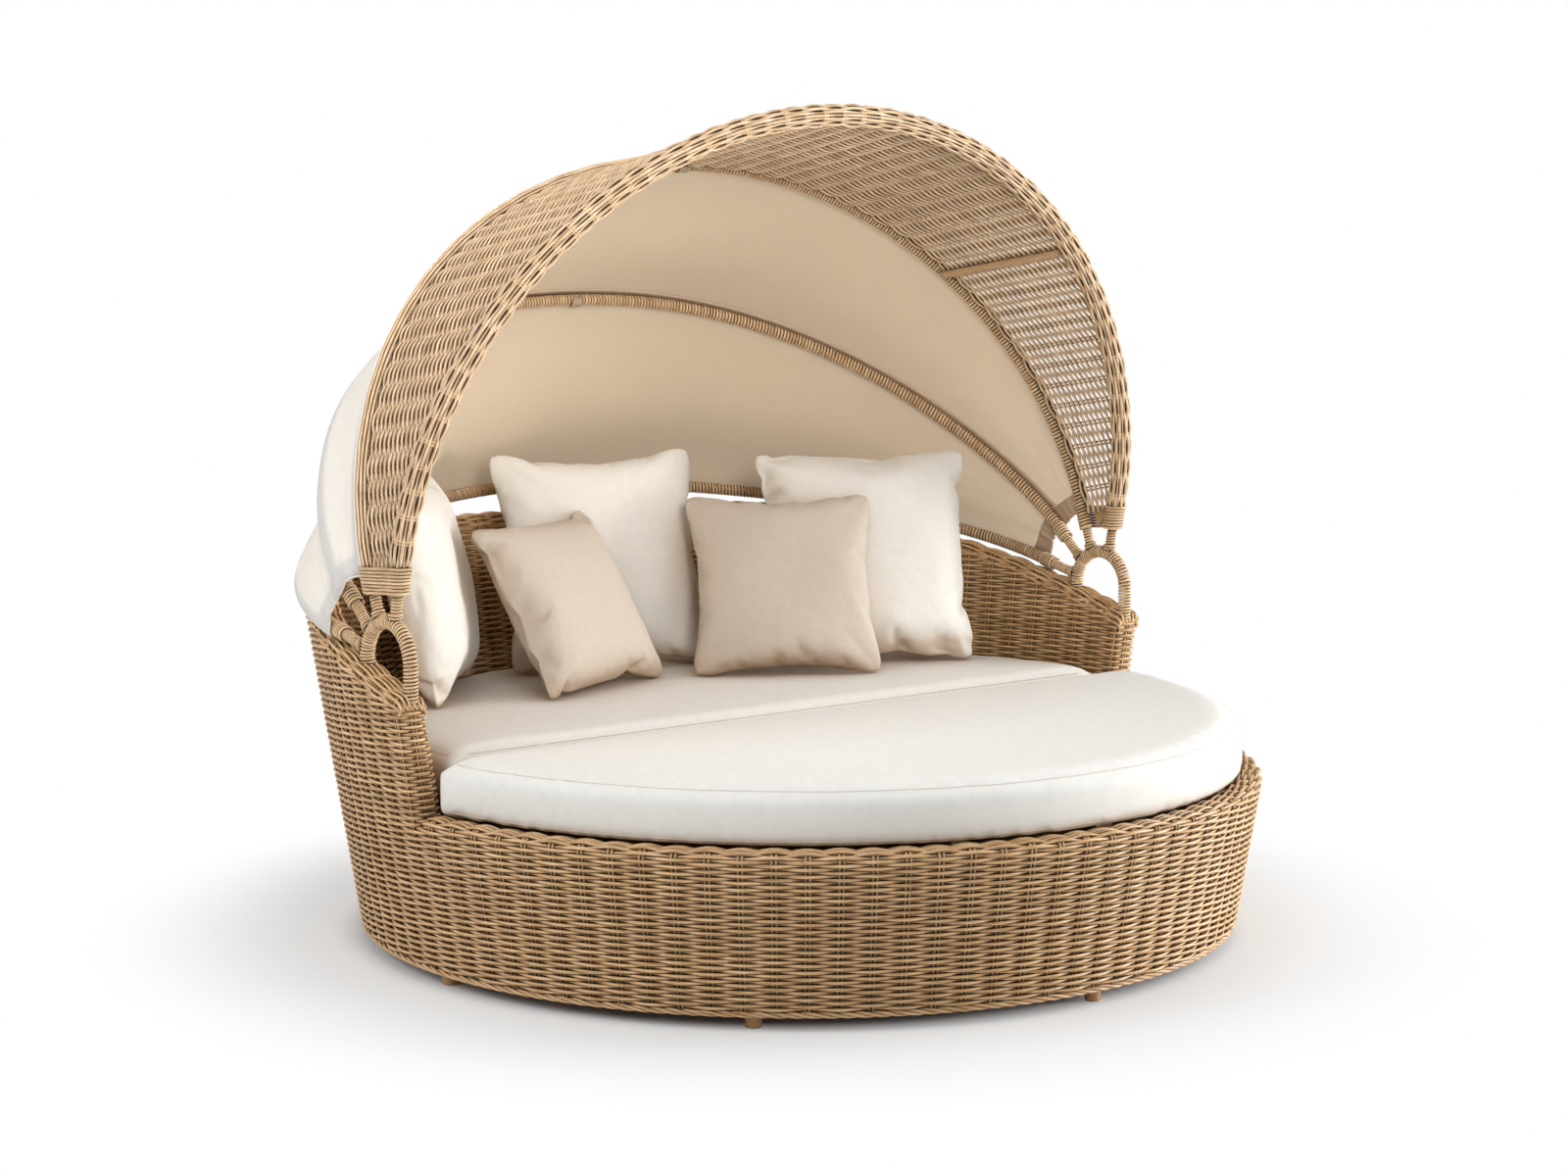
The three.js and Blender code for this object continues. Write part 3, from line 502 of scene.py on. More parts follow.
def arm_row_point(s, d, out):
    """A place on the arm top; past either end the row turns down over the end of the arm."""
    setback, drop, out_setback, out_height = arm_profile(d)
    past = max(0.0, -s, s - arm_intervals) * pair_step * rim_radius
    angle = min(max(s, 0.0), arm_intervals) * pair_step
    turn = min(past / arm_bend, math.pi / 2)
    down = arm_bend * (1 - math.cos(turn)) + max(0.0, past - arm_bend * math.pi / 2)
    down *= 1 - min(drop / 0.05, 1)
    lift = out * out_height
    height = arm_top(angle) - drop + lift * math.cos(turn) - down
    point = tub_point(angle, height, setback + out * out_setback)
    point.y -= arm_bend * math.sin(turn) - (1 - math.cos(turn)) * 0.001 + lift * math.sin(turn)
    return point


past_end = (0.15, 0.3, 0.45, 0.62)
arm_stops = [-f for f in reversed(past_end)] + row_places(0, arm_intervals)
arm_stops += [arm_intervals + f for f in past_end]
arm_paths = [[arm_row_point(s, (row + 0.5) * arm_length / arm_rows, weave_out(row, s)) for s in arm_stops]
             for row in range(arm_rows)]
arm_tops = strands("arm_top_rows", arm_paths, strand_thickness * 0.92, False, 6)
dress(arm_tops, honey_wicker, replaced=["braid_arms"])

stake_thickness = 0.005
stake_foot = 0.030
inner_stake_foot = 0.325
end_stake_foot = 0.315
arm_end_width = 0.08
arm_samples = [arm_length * i / 12 for i in range(13)]
rim_samples = (0, 0.006, 0.011, 0.016, 0.021, 0.028, 0.034, 0.038, 0.042, 0.045)
stake_paths = []
for i in range(stake_pairs):
    for shift in (-pair_half_gap, pair_half_gap):
        angle = i * pair_step + shift / rim_radius
        path = [tub_point(angle, stake_foot, outer_setback)]
        if i <= arm_intervals:
            for setback, drop, _, _ in [arm_profile(d) for d in arm_samples]:
                path.append(tub_point(angle, arm_top(angle) - drop, setback))
            path.append(tub_point(angle, inner_stake_foot, inner_setback))
        else:
            for setback, height, _, _ in [rim_profile(d) for d in rim_samples]:
                path.append(tub_point(angle, height, setback))
        stake_paths.append(path)
for side in (1, -1):
    for shift in (-pair_half_gap, pair_half_gap):
        share = 0.5 + shift / arm_end_width
        stake_paths.append([arm_end_turn(share, height, side, 0)
                            for height in (end_stake_foot, arm_end_height - 0.012)])
wall_stakes = strands("wall_stakes", stake_paths, stake_thickness, False, 7)
dress(wall_stakes, honey_wicker, replaced=["weave_outer", "weave_inner"])

# The bottom border: three strands twisted together, which lock the feet of the stakes.

border_turns = 60
border_steps = 8
twist_radius = 0.0036
twist_height = 0.0315
twist_setback = 0.0045
border_strand = 0.0062
border_paths = []
for strand in range(3):
    path = []
    for step in range(border_turns * border_steps):
        angle = 2 * math.pi * step / (border_turns * border_steps)
        turn = 2 * math.pi * (step / border_steps + strand / 3)
        path.append(tub_point(angle, twist_height + twist_radius * math.sin(turn),
                              twist_setback + twist_radius * math.cos(turn)))
    border_paths.append(path)
border = strands("bottom_border_twist", border_paths, border_strand, True, 8)
dress(border, honey_wicker, replaced=["border_bottom"])

# The hidden frame and the levelling feet: welded aluminium, coated tan, and turned tan feet.
# The frame stays as the CAD has it. Each foot is turned, with its edges softened.


def add_bump(tree, shader, height, strength, distance):
    bump = add_node(tree, "ShaderNodeBump", {"Height": height, "Strength": strength, "Distance": distance})
    tree.links.new(bump.outputs["Normal"], shader.inputs["Normal"])


def coated_metal(name, colour):
    """Powder coat: finely speckled, a little uneven in gloss and height."""
    dark, light = [c * 0.88 for c in colour], [c * 1.12 for c in colour]
    material, tree, shader, speck = mottled(name, dark, light, 900, 2, {"Metallic": 0.2})
    rough = add_node(tree, "ShaderNodeMapRange", {"Value": speck, "To Min": 0.4, "To Max": 0.6})
    tree.links.new(rough.outputs["Result"], shader.inputs["Roughness"])
    add_bump(tree, shader, speck, 0.15, 0.0002)
    return material


def coat(beginnings, material):
    """Gives the CAD nodes whose names begin so a material in place of their own."""
    for name, node in nodes.items():
        if name.startswith(beginnings):
            for held in node.material_slots:
                held.material = material


tan_coat = coated_metal("tan powder coat", (0.30, 0.18, 0.09))
foot_coat = coated_metal("brown foot", (0.50, 0.28, 0.13))
coat(("base_ring", "seat_ring", "front_rail", "arm_rail", "post_", "deck_rail_"), tan_coat)

foot_height = 0.038
stem_middle = 0.049
for number in range(1, 9):
    low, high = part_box(f"foot_{number}")
    x, y = (low[0] + high[0]) / 2, (low[1] + high[1]) / 2
    form = bmesh.new()
    bmesh.ops.create_cone(form, cap_ends=True, segments=32, radius1=0.0148, radius2=0.0158, depth=foot_height,
                          matrix=Matrix.Translation((x, y, foot_height / 2)))
    rims = [e for e in form.edges if abs(e.verts[0].co.z - e.verts[1].co.z) < 1e-6]
    bmesh.ops.bevel(form, geom=rims, offset=0.0025, segments=3, profile=0.5, affect="EDGES", material=-1)
    bmesh.ops.create_cone(form, cap_ends=True, segments=16, radius1=0.005, radius2=0.005, depth=0.026,
                          matrix=Matrix.Translation((x, y, stem_middle)))
    dress(new_piece(f"turned_foot_{number}", form), foot_coat, f"foot_{number}", [f"foot_{number}"])

# The hub loops: a bent bar on each arm end, bound tightly with strand, with four bound stubs that
# fan out of it and a bound knot at the foot of each. The bows plug on the stubs.

hub_plane = 0.935
hub_centre_y = tub_axis_y + 0.068
hub_radius = 0.075
hub_height = 0.615
loop_strand = 0.0058
bow_specs = [dict(zip(("tilt", "loop", "stub", "collar", "rise", "radius", "powers"), row)) for row in (
    (-11, -18, 0.058, 0.057, 0.853, 0.022, (2, 1.95)),
    (18.8, 22, 0.056, 0.040, 0.814, 0.014, (2.05, 2)),
    (48, 50, 0.070, 0.040, 0.774, 0.014, (2.25, 1.66)),
    (76, 78, 0.076, 0.040, 0.719, 0.014, (1.65, 2)),
)]


def bow_root(spec, side, distance):
    """A point on a stub's line, that far from the middle of the loop's bar, and the line's direction."""
    tilt, loop = math.radians(spec["tilt"]), math.radians(spec["loop"])
    along = Vector((0, math.sin(tilt), math.cos(tilt)))
    root = Vector((side * hub_plane, hub_centre_y + hub_radius * math.sin(loop),
                   hub_height + hub_radius * math.cos(loop)))
    return root + along * distance, along


def run_lengths(points):
    """The length of a line through points, up to each of them."""
    lengths = [0.0]
    for a, b in zip(points, points[1:]):
        lengths.append(lengths[-1] + (b - a).length)
    return lengths


def framed(points, pitch, side=None):
    """Even stations along a line through points: place, two steady directions across it and its own."""
    lengths = run_lengths(points)
    count = max(2, round(lengths[-1] / pitch))
    result, i = [], 0
    for k in range(count + 1):
        way = lengths[-1] * k / count
        while i < len(points) - 2 and lengths[i + 1] < way:
            i += 1
        direction = (points[i + 1] - points[i]).normalized()
        side = direction.orthogonal() if side is None else side
        side = (side - direction * side.dot(direction)).normalized()
        place = points[i].lerp(points[i + 1], (way - lengths[i]) / (lengths[i + 1] - lengths[i]))
        result.append((place, side, direction.cross(side), direction))
    return result


def beside(side, other, turn, radius):
    """A step out from a line at a turn about it."""
    return (side * math.cos(turn) + other * math.sin(turn)) * radius


def binding(points, radius, pitch=0.0068, turn_steps=9):
    """A strand wound closely round a line, as the points of its spiral."""
    return [centre + beside(side, other, 2 * math.pi * k / turn_steps, radius)
            for k, (centre, side, other, _) in enumerate(framed(points, pitch / turn_steps))]


def stub_binding(spec, side, low, high, radius, pitch, turn_steps=9):
    """A binding round a stub's line, from one distance to another."""
    return binding([bow_root(spec, side, low)[0], bow_root(spec, side, high)[0]], radius, pitch, turn_steps)


# The last numbers set the bound strand's painted shade in the nooks.
bound_wicker = wicker_material("bound strand", (0.50, 0.30, 0.14), (0.76, 0.51, 0.285), (0.93, 0.71, 0.46),
                               (0.42, 0.86, 0.10))
for side, name in ((1, "right"), (-1, "left")):
    foot_rear = hub_centre_y + hub_radius
    rear_top = arm_top(math.asin((foot_rear - tub_axis_y) / rim_radius))
    loop_line = [Vector((side * hub_plane, hub_centre_y - hub_radius, arm_end_height - 0.02))]
    for turn in [math.pi * k / 24 for k in range(25)]:
        loop_line.append(Vector((side * hub_plane, hub_centre_y - hub_radius * math.cos(turn),
                                 hub_height + hub_radius * math.sin(turn))))
    loop_line.append(Vector((side * hub_plane, foot_rear, rear_top - 0.025)))
    paths = [binding(loop_line, 0.0120)]
    for spec in bow_specs:
        paths.append(stub_binding(spec, side, 0.012, spec["stub"] + 0.004, 0.0086, 0.0062))
        paths.append(stub_binding(spec, side, 0.011, 0.023, 0.0114, 0.0060, 12))
    loop = strands(f"hub_loop_binding_{name}", paths, loop_strand, False, 10 + side)
    dress(loop, bound_wicker, replaced=[f"hub_loop_{name}"])

# The three slim bows: bent tube bound with strand from end to end, with a second layer at each
# end where the bow is plugged on its stub.


def bow_line(index, steps=220):
    """The middle line of a bow, from its right collar to its left one."""
    spec = bow_specs[index]
    base, along = bow_root(spec, 1, spec["stub"] + spec["collar"] - 0.002)
    points = []
    for k in range(steps + 1):
        turn = math.pi * k / steps
        across = math.copysign(abs(math.cos(turn)) ** (2 / spec["powers"][0]), math.cos(turn))
        up = spec["rise"] * abs(math.sin(turn)) ** (2 / spec["powers"][1])
        points.append(Vector((hub_plane * across, base.y + along.y * up, base.z + along.z * up)))
    return points


bow_lines = [bow_line(i) for i in range(4)]
collar_strand = 0.0065
for index, name in ((1, "bow_2_hood"), (2, "bow_3_middle"), (3, "bow_4_rear")):
    spec = bow_specs[index]
    paths = [binding(bow_lines[index], 0.0108, 0.0078, 10)]
    for side in (1, -1):
        paths.append(stub_binding(spec, side, spec["stub"] + 0.001, spec["stub"] + spec["collar"],
                                  0.0136, 0.0074, 10))
    piece = strands(f"{name}_binding", paths, collar_strand, False, 20 + index)
    dress(piece, bound_wicker, replaced=[name])

# The front bow: seventeen strands laid along a bent tube and held by pairs of rings woven through
# them, drawn together at each end into a bound collar. The tube between them gets the dark backing
# colour: painted shade in the gaps between the strands.

bundle_strands = 17
bundle_strand = 0.0062
bundle_radius = 0.0174
bundle_swing = 0.0030
ring_spacing = 0.0480
ring_strand = 0.0050
ring_half_gap = 0.0030
ring_radius = bundle_radius - 0.0006
tube_thickness = 0.024
bundle_line = framed(bow_lines[0], ring_spacing / 4, Vector((0, 1, 0)))
intervals = (len(bundle_line) - 1) / 4
bundle_paths = []
for strand in range(bundle_strands):
    turn = 2 * math.pi * strand / bundle_strands
    path = []
    for k, (centre, side, other, _) in enumerate(bundle_line):
        s = (k + 0.5) / 4
        draw = 1 - 0.10 * math.exp(-min(s, intervals - s) / 1.2)
        radius = bundle_radius * draw + (-1) ** strand * bundle_swing * weave_side(s)
        path.append(centre + beside(side, other, turn, radius))
    bundle_paths.append(path)
ring_paths = []
for centre, side, other, direction in bundle_line[2:-2:4]:
    for shift in (-ring_half_gap, ring_half_gap):
        ring_paths.append([centre + direction * shift + beside(side, other, math.pi * j / 10, ring_radius)
                           for j in range(20)])
spec = bow_specs[0]
for side in (1, -1):
    bundle_paths.append(stub_binding(spec, side, spec["stub"] + 0.001, spec["stub"] + spec["collar"] + 0.006,
                                     0.0142, 0.0060, 10))
bundle = strands("bow_1_front_strands", bundle_paths, bundle_strand, False, 30)
dress(bundle, painted_light_wicker, replaced=["bow_1_front"])
dress(strands("bow_1_front_rings", ring_paths, ring_strand, True, 31), painted_light_wicker)
# The core is coloured with the dark backing: painted shade between the strands.
core = strands("bow_1_core", [[centre for centre, _, _, _ in bundle_line]], tube_thickness, False, 32)
dress(core, painted_shade_backing)

# The woven hood: strands parallel to the second bow, in and out of pairs of cross stakes that run
# from bow to bow, and three more laid over the second bow. Towards the hubs the hood narrows, and
# the strands end one by one at the front bow.

hood_stations = 55
hood_pitch = 0.0076
hood_strand = 0.0060
hood_stake = 0.0046
hood_stake_half_gap = 0.0036
hood_swing = 0.0050
hood_span = 2.65
hood_rear_gap = 0.0125
hood_front_gap = 0.016
lap_angles = (22, 46, 70)
bow_runs = [run_lengths(line) for line in bow_lines]


def at_share(index, share):
    """The point at a share of a bow's length, and the bow's direction there."""
    points, lengths = bow_lines[index], bow_runs[index]
    way = share * lengths[-1]
    i = max(0, min(len(points) - 2, bisect.bisect(lengths, way) - 1))
    place = points[i].lerp(points[i + 1], (way - lengths[i]) / (lengths[i + 1] - lengths[i]))
    return place, (points[i + 1] - points[i]).normalized()


def station(index, share):
    """Point, tangent, outward and side directions at a share of a bow's length."""
    tilt = math.radians(bow_specs[index]["tilt"])
    point, tangent = at_share(index, share)
    side = Vector((0, math.cos(tilt), -math.sin(tilt)))
    outward = side.cross(tangent).normalized()
    if outward.dot(Vector((point.x, 0, point.z - bow_lines[index][0].z))) < 0:
        outward.negate()
    return point, tangent, outward, side


def hood_place(share, back, out):
    """A place on the hood, that far in front of the second bow, or None past the front bow."""
    front, front_tangent, front_out, _ = station(0, share)
    rear, rear_tangent, rear_out, _ = station(1, share)
    across = front - rear
    width = across.length
    across.normalize()
    normal = front_out + rear_out
    normal = (normal - across * normal.dot(across)).normalized()
    start = hood_rear_gap / math.sqrt(max(0.05, 1 - rear_tangent.dot(across) ** 2))
    end = width - hood_front_gap / math.sqrt(max(0.05, 1 - front_tangent.dot(across) ** 2))
    if start + back > end:
        return None
    return rear + across * (start + back) + normal * out


hood_paths = []
row = 0
while True:
    path = []
    for s in row_places(-1, hood_stations + 1):
        out = (-1) ** row * hood_swing * weave_side(s)
        point = hood_place(s / hood_stations, 0.003 + row * hood_pitch, out)
        if point is not None and -0.004 < s / hood_stations < 1.004:
            path.append(point)
    if len(path) < 6:
        break
    hood_paths.append(path)
    row += 1
for lap in [math.radians(angle) for angle in lap_angles]:
    path = []
    for s in row_places(0, hood_stations):
        point, _, outward, side = station(1, min(0.997, max(0.003, s / hood_stations)))
        away = bow_specs[1]["radius"] + hood_strand / 2 + 0.0008 * weave_side(s)
        path.append(point + beside(outward, side, -lap, away))
    hood_paths.append(path)
dress(strands("hood_rows", hood_paths, hood_strand, False, 40), painted_light_wicker, replaced=["hood_panel"])
cross_paths = []
for i in range(1, hood_stations):
    for shift in (-hood_stake_half_gap, hood_stake_half_gap):
        path = []
        back = -0.004
        while True:
            point = hood_place(i / hood_stations + shift / hood_span, back, 0)
            if point is None:
                break
            path.append(point)
            back += 0.03
        if len(path) > 1:
            path.append(path[-1] + (path[-1] - path[-2]).normalized() * 0.012)
            cross_paths.append(path)
dress(strands("hood_cross_stakes", cross_paths, hood_stake, False, 41), painted_light_wicker)

# The lower ends of the hood: flat turns of strand run outside the feet of the first two bows and
# round the front one, a moulded plate closes the gap between them, and a bar ties the bows inside.

wrap_turns = 8
wrap_pitch = 0.0066
wrap_strand = 0.0064
wrap_reach = 0.0195
back = Vector((0, wrap_reach, 0))
for side, name in ((1, "right"), (-1, "left")):
    out = Vector((side * wrap_reach, 0, 0))
    outward = Vector((side, 0, 0))
    paths = []
    for k in range(wrap_turns):
        up = 0.004 + k * wrap_pitch
        front, _ = bow_root(bow_specs[0], side, bow_specs[0]["stub"] + up)
        rear, _ = bow_root(bow_specs[1], side, bow_specs[1]["stub"] + up)
        path = [rear + back * 0.9 + outward * 0.004, rear + back * 0.8 + out * 0.7]
        path.append(rear + out + outward * 0.0005)
        path += [rear.lerp(front, t) + out + outward * 0.001 for t in (0.25, 0.5, 0.75)]
        path += [front + out * math.cos(math.pi * j / 8) - back * math.sin(math.pi * j / 8) for j in range(9)]
        path += [front - out * 0.72 + back * 0.72, front - out * 0.3 + back]
        paths.append(path)
    wrap = strands(f"hood_foot_wrap_{name}", paths, wrap_strand, False, 50 + side)
    dress(wrap, bound_wicker, replaced=[f"hood_wrap_{name}"])

moulded_tan, tree, shader, speck = mottled("moulded tan", (0.47, 0.30, 0.155), (0.60, 0.41, 0.23), 60, 5,
                                           {"Roughness": 0.55})
add_bump(tree, shader, speck, 0.2, 0.0004)
coat(("hood_plate_", "tie_bar_"), moulded_tan)

# The canopy: one sheet of cream outdoor cloth, stretched from the second bow over the middle one and
# turned round the rear bow. Its inside is coloured beige: painted shade, and painted warm light
# through the cloth. It sags a little between the bows and falls in soft folds near the hubs.

cloth_thickness = 0.0025
cloth_stand = 0.0012
cloth_sag = 0.024
fold_depth = 0.004
fold_reach = 0.26
hem_turn = math.radians(50)
hood_length = bow_runs[0][-1]
cloth_share = -0.004 / hood_length
end_hollow = 0.014
cloth_columns = 150
span_rows = 22
hem_rows = 4
total_rows = 2 * span_rows + hem_rows


def cloth_row(v):
    """(which pair of bows, share of the way between them, turn round the rear bow) for a row number."""
    if v <= span_rows:
        return 1, v / span_rows, 0.0
    if v <= 2 * span_rows:
        return 2, (v - span_rows) / span_rows, 0.0
    return 2, 1.0, (v - 2 * span_rows) / hem_rows * hem_turn


def end_share(v):
    """Where the sheet ends near a hub: its edge is hollowed between the bows."""
    return cloth_share + end_hollow / hood_length * math.sin(math.pi * cloth_row(v)[1])


def cloth_place(share, v, offset):
    """A place on the sheet: a share of the way from hub to hub, a row number and an offset outwards."""
    span, between, turn = cloth_row(v)

    def lifted(index, angle):
        point, _, outward, side = station(index, share)
        radius = bow_specs[index]["radius"] + cloth_stand + offset
        return point + outward * radius * math.cos(angle) + side * radius * math.sin(angle), outward

    near, near_out = lifted(span, 0.0)
    far, far_out = lifted(span + 1, turn)
    point = near.lerp(far, between)
    outward = near_out.lerp(far_out, between).normalized()
    from_end = min(share, 1 - share) * hood_length
    across = math.sin(math.pi * between)
    fold = fold_depth * math.exp(-from_end / fold_reach) * math.sin(2 * math.pi * between)
    sag = cloth_sag * across ** 2 * min(1.0, from_end / fold_reach)
    crease = 0.0026 * across * noise.noise(Vector((share * 34, v * 0.23, 3.7))) * min(1.0, from_end / 0.1)
    crease += 0.0050 * across * math.exp(-from_end / 0.6) * noise.noise(Vector((share * 9, v * 0.55, 8.1)))
    return point - outward * (sag + fold * across - crease)


sheet_form = bmesh.new()
bmesh.ops.create_grid(sheet_form, x_segments=cloth_columns, y_segments=total_rows, size=1)
cloth_uv = sheet_form.loops.layers.uv.new("UVMap")
for corner in [loop for face in sheet_form.faces for loop in face.loops]:
    corner[cloth_uv].uv = ((corner.vert.co.x + 1) / 2 * 2.6, (corner.vert.co.y + 1) / 2 * 1.5)
for vertex in sheet_form.verts:
    v = (vertex.co.y + 1) / 2 * total_rows
    share = end_share(v) + (1 - 2 * end_share(v)) * (vertex.co.x + 1) / 2
    vertex.co = cloth_place(share, v, cloth_thickness / 2)
bmesh.ops.recalc_face_normals(sheet_form, faces=sheet_form.faces)
middle_face = min(sheet_form.faces, key=lambda f: (f.calc_center_median() - Vector((0, 0.3, 1.5))).length)
if middle_face.normal.z < 0:
    bmesh.ops.reverse_faces(sheet_form, faces=sheet_form.faces)
canopy = new_piece("canopy_sheet", sheet_form)


def woven_cloth(name, colour, warp=900, wrinkle=0.0, through=0.0, painted_shade_tint=(0.64, 0.49, 0.36)):
    """Plain woven outdoor cloth: fine crossed threads, soft wide creases, and painted warm shade in the
    nooks.
    """
    material, tree, output = new_material(name)
    place = add_node(tree, "ShaderNodeTexCoord", {}).outputs["Object"]
    threads = [add_node(tree, "ShaderNodeTexWave", {
        "Vector": place, "Scale": warp / 6.3, "Distortion": 0.6, "Detail Scale": 3},
        bands_direction=axis).outputs["Fac"] for axis in ("X", "Z")]
    weave = combined(tree, "MULTIPLY", threads[0], threads[1])
    slub = add_node(tree, "ShaderNodeTexNoise", {"Vector": place, "Scale": 55, "Detail": 6}).outputs["Fac"]
    tint = add_node(tree, "ShaderNodeMixRGB", {
        "Fac": slub, "Color1": (*[c * 0.93 for c in colour], 1),
        "Color2": (*[min(1, c * 1.04) for c in colour], 1)})
    # Painted shade: ambient occlusion darkens the cloth colour towards a warm tint in the nooks and where
    # pieces meet.
    nook = add_node(tree, "ShaderNodeAmbientOcclusion", {"Distance": 0.12}, samples=4).outputs["AO"]
    painted_shade_factor = add_node(tree, "ShaderNodeMapRange", {"Value": nook, "From Min": 0.30, "From Max": 0.86})
    painted_warm_shade = add_node(tree, "ShaderNodeMixRGB", {
        "Fac": painted_shade_factor.outputs["Result"], "Color1": (*painted_shade_tint, 1), "Color2": (1, 1, 1, 1)})
    shaded = add_node(tree, "ShaderNodeMixRGB", {
        "Fac": 1, "Color1": tint.outputs["Color"], "Color2": painted_warm_shade.outputs["Color"]}, blend_type="MULTIPLY")
    fine = add_node(tree, "ShaderNodeBump", {"Height": weave, "Strength": 0.25, "Distance": 0.0003})
    crumple = add_node(tree, "ShaderNodeTexNoise", {
        "Vector": place, "Scale": 7, "Detail": 3, "Distortion": 0.8})
    wide = add_node(tree, "ShaderNodeBump", {
        "Height": crumple.outputs["Fac"], "Strength": wrinkle, "Distance": 0.01,
        "Normal": fine.outputs["Normal"]})
    surface = add_node(tree, "ShaderNodeBsdfPrincipled", {
        "Base Color": shaded.outputs["Color"], "Roughness": 0.9, "Specular IOR Level": 0.2,
        "Sheen Weight": 0.10, "Sheen Roughness": 0.6, "Normal": wide.outputs["Normal"]})
    if through:
        glow = add_node(tree, "ShaderNodeBsdfTranslucent", {"Color": (*colour, 1)})
        surface = add_node(tree, "ShaderNodeMixShader", {
            0: through, 1: surface.outputs[0], 2: glow.outputs[0]})
    tree.links.new(surface.outputs[0], output.inputs["Surface"])
    return material


# The last numbers give each side a faint painted shade in the nooks. The inside is the same cream cloth: its
# beige colour is painted shade and painted warm light through the cloth.
outside = woven_cloth("canopy cloth outside", (0.93, 0.925, 0.90), 900, 0.25, 0.3, (0.9, 0.88, 0.85))
inside = woven_cloth("canopy cloth inside", (0.95, 0.83, 0.68), 900, 0.30, 0.7, (0.9, 0.85, 0.78))
dress(canopy, outside, replaced=["canopy_cloth"])
canopy.data.materials.append(inside)
shell = thicken(canopy, cloth_thickness)
shell.material_offset = 1
shell.material_offset_rim = 0

webbing = woven_cloth("tan webbing", (0.47, 0.35, 0.24), warp=700)
corner_cloth = woven_cloth("tan corner cloth", (0.60, 0.46, 0.33), warp=700)
strip_cloth = woven_cloth("beige strip cloth", (0.74, 0.60, 0.45), warp=700)
piping_cloth = woven_cloth("canopy piping", (0.86, 0.82, 0.74), warp=700)
coat("strap_", webbing)

piping_thickness = 0.0046
sewn_thickness = 0.0010
sewn_offset = -0.0006
half_rows = [k / 2 for k in range(2 * total_rows + 1)]
even_shares = [cloth_share + (1 - 2 * cloth_share) * k / 160 for k in range(161)]
cords = [[cloth_place(end_share(v), v, cloth_thickness) for v in half_rows],
         [cloth_place(1 - end_share(v), v, cloth_thickness) for v in half_rows],
         [cloth_place(share, 0, cloth_thickness) for share in even_shares],
         [cloth_place(share, total_rows, cloth_thickness) for share in even_shares]]
dress(strands("canopy_piping", cords, piping_thickness, False, 70), piping_cloth)


def sewn_piece(name, share_range, row_range, columns, rows, cloth, replaced=()):
    """A thin piece of cloth sewn to the inside of the canopy, over a range of shares and rows."""
    form = bmesh.new()
    bmesh.ops.create_grid(form, x_segments=columns, y_segments=rows, size=1)
    low, high = share_range
    for vertex in form.verts:
        share = low + (high - low) * (vertex.co.x + 1) / 2
        first, last = row_range(share)
        v = first + (last - first) * (vertex.co.y + 1) / 2
        share = max(share, end_share(v)) if share < 0.5 else min(share, 1 - end_share(v))
        vertex.co = cloth_place(share, v, sewn_offset)
    bmesh.ops.remove_doubles(form, verts=form.verts, dist=1e-5)
    bmesh.ops.recalc_face_normals(form, faces=form.faces)
    piece = new_piece(name, form)
    thicken(piece, sewn_thickness)
    dress(piece, cloth, replaced=replaced)


patch_height = 0.056
patch_margin = 0.8
for part, first_row in (("upper", 0), ("lower", span_rows)):
    for side in ("right", "left"):
        low, high = cloth_share, cloth_share + patch_height / hood_length
        if side == "left":
            low, high = 1 - high, 1 - low
        sewn_piece(f"corner_patch_{part}_{side}", (low, high),
                   lambda share: (first_row + patch_margin, first_row + span_rows - patch_margin),
                   10, 22, corner_cloth, [f"patch_{part}_{side}"])


def strip_rows(first_row, direction, width):
    """The rows that a strip of even width beside a bow covers at each share of the bow."""
    def rows(share):
        first, last = (1, 2) if first_row < span_rows or direction < 0 else (2, 3)
        gap = (station(first, share)[0] - station(last, share)[0]).length
        return first_row, first_row + direction * min(0.45, width / gap) * span_rows
    return rows


strip_width = 0.022
strip_start = cloth_share + (patch_height + 0.002) / hood_length
for name, first_row, direction in (("bow_2", 0, 1), ("bow_3", span_rows, -1)):
    sewn_piece(f"canopy_strip_{name}", (strip_start, 1 - strip_start),
               strip_rows(first_row, direction, strip_width), 150, 3, strip_cloth)

# The seat: two half-round foam cushions in off-white covers, split across the tub, with a seam round
# the top and the bottom edge. The front one lies on the rim, and the rear one inside the arms.

cushion_height = 0.104
cushion_crown = 0.010
cushion_gap = 0.0003
cover_gap = 0.004
seam_thread = 0.0022
rear_radius = 0.872
cushion_cloth = woven_cloth("off-white seat cloth", (0.825, 0.815, 0.775), wrinkle=0.10)
seam_cloth = woven_cloth("seam thread", (0.70, 0.67, 0.60))


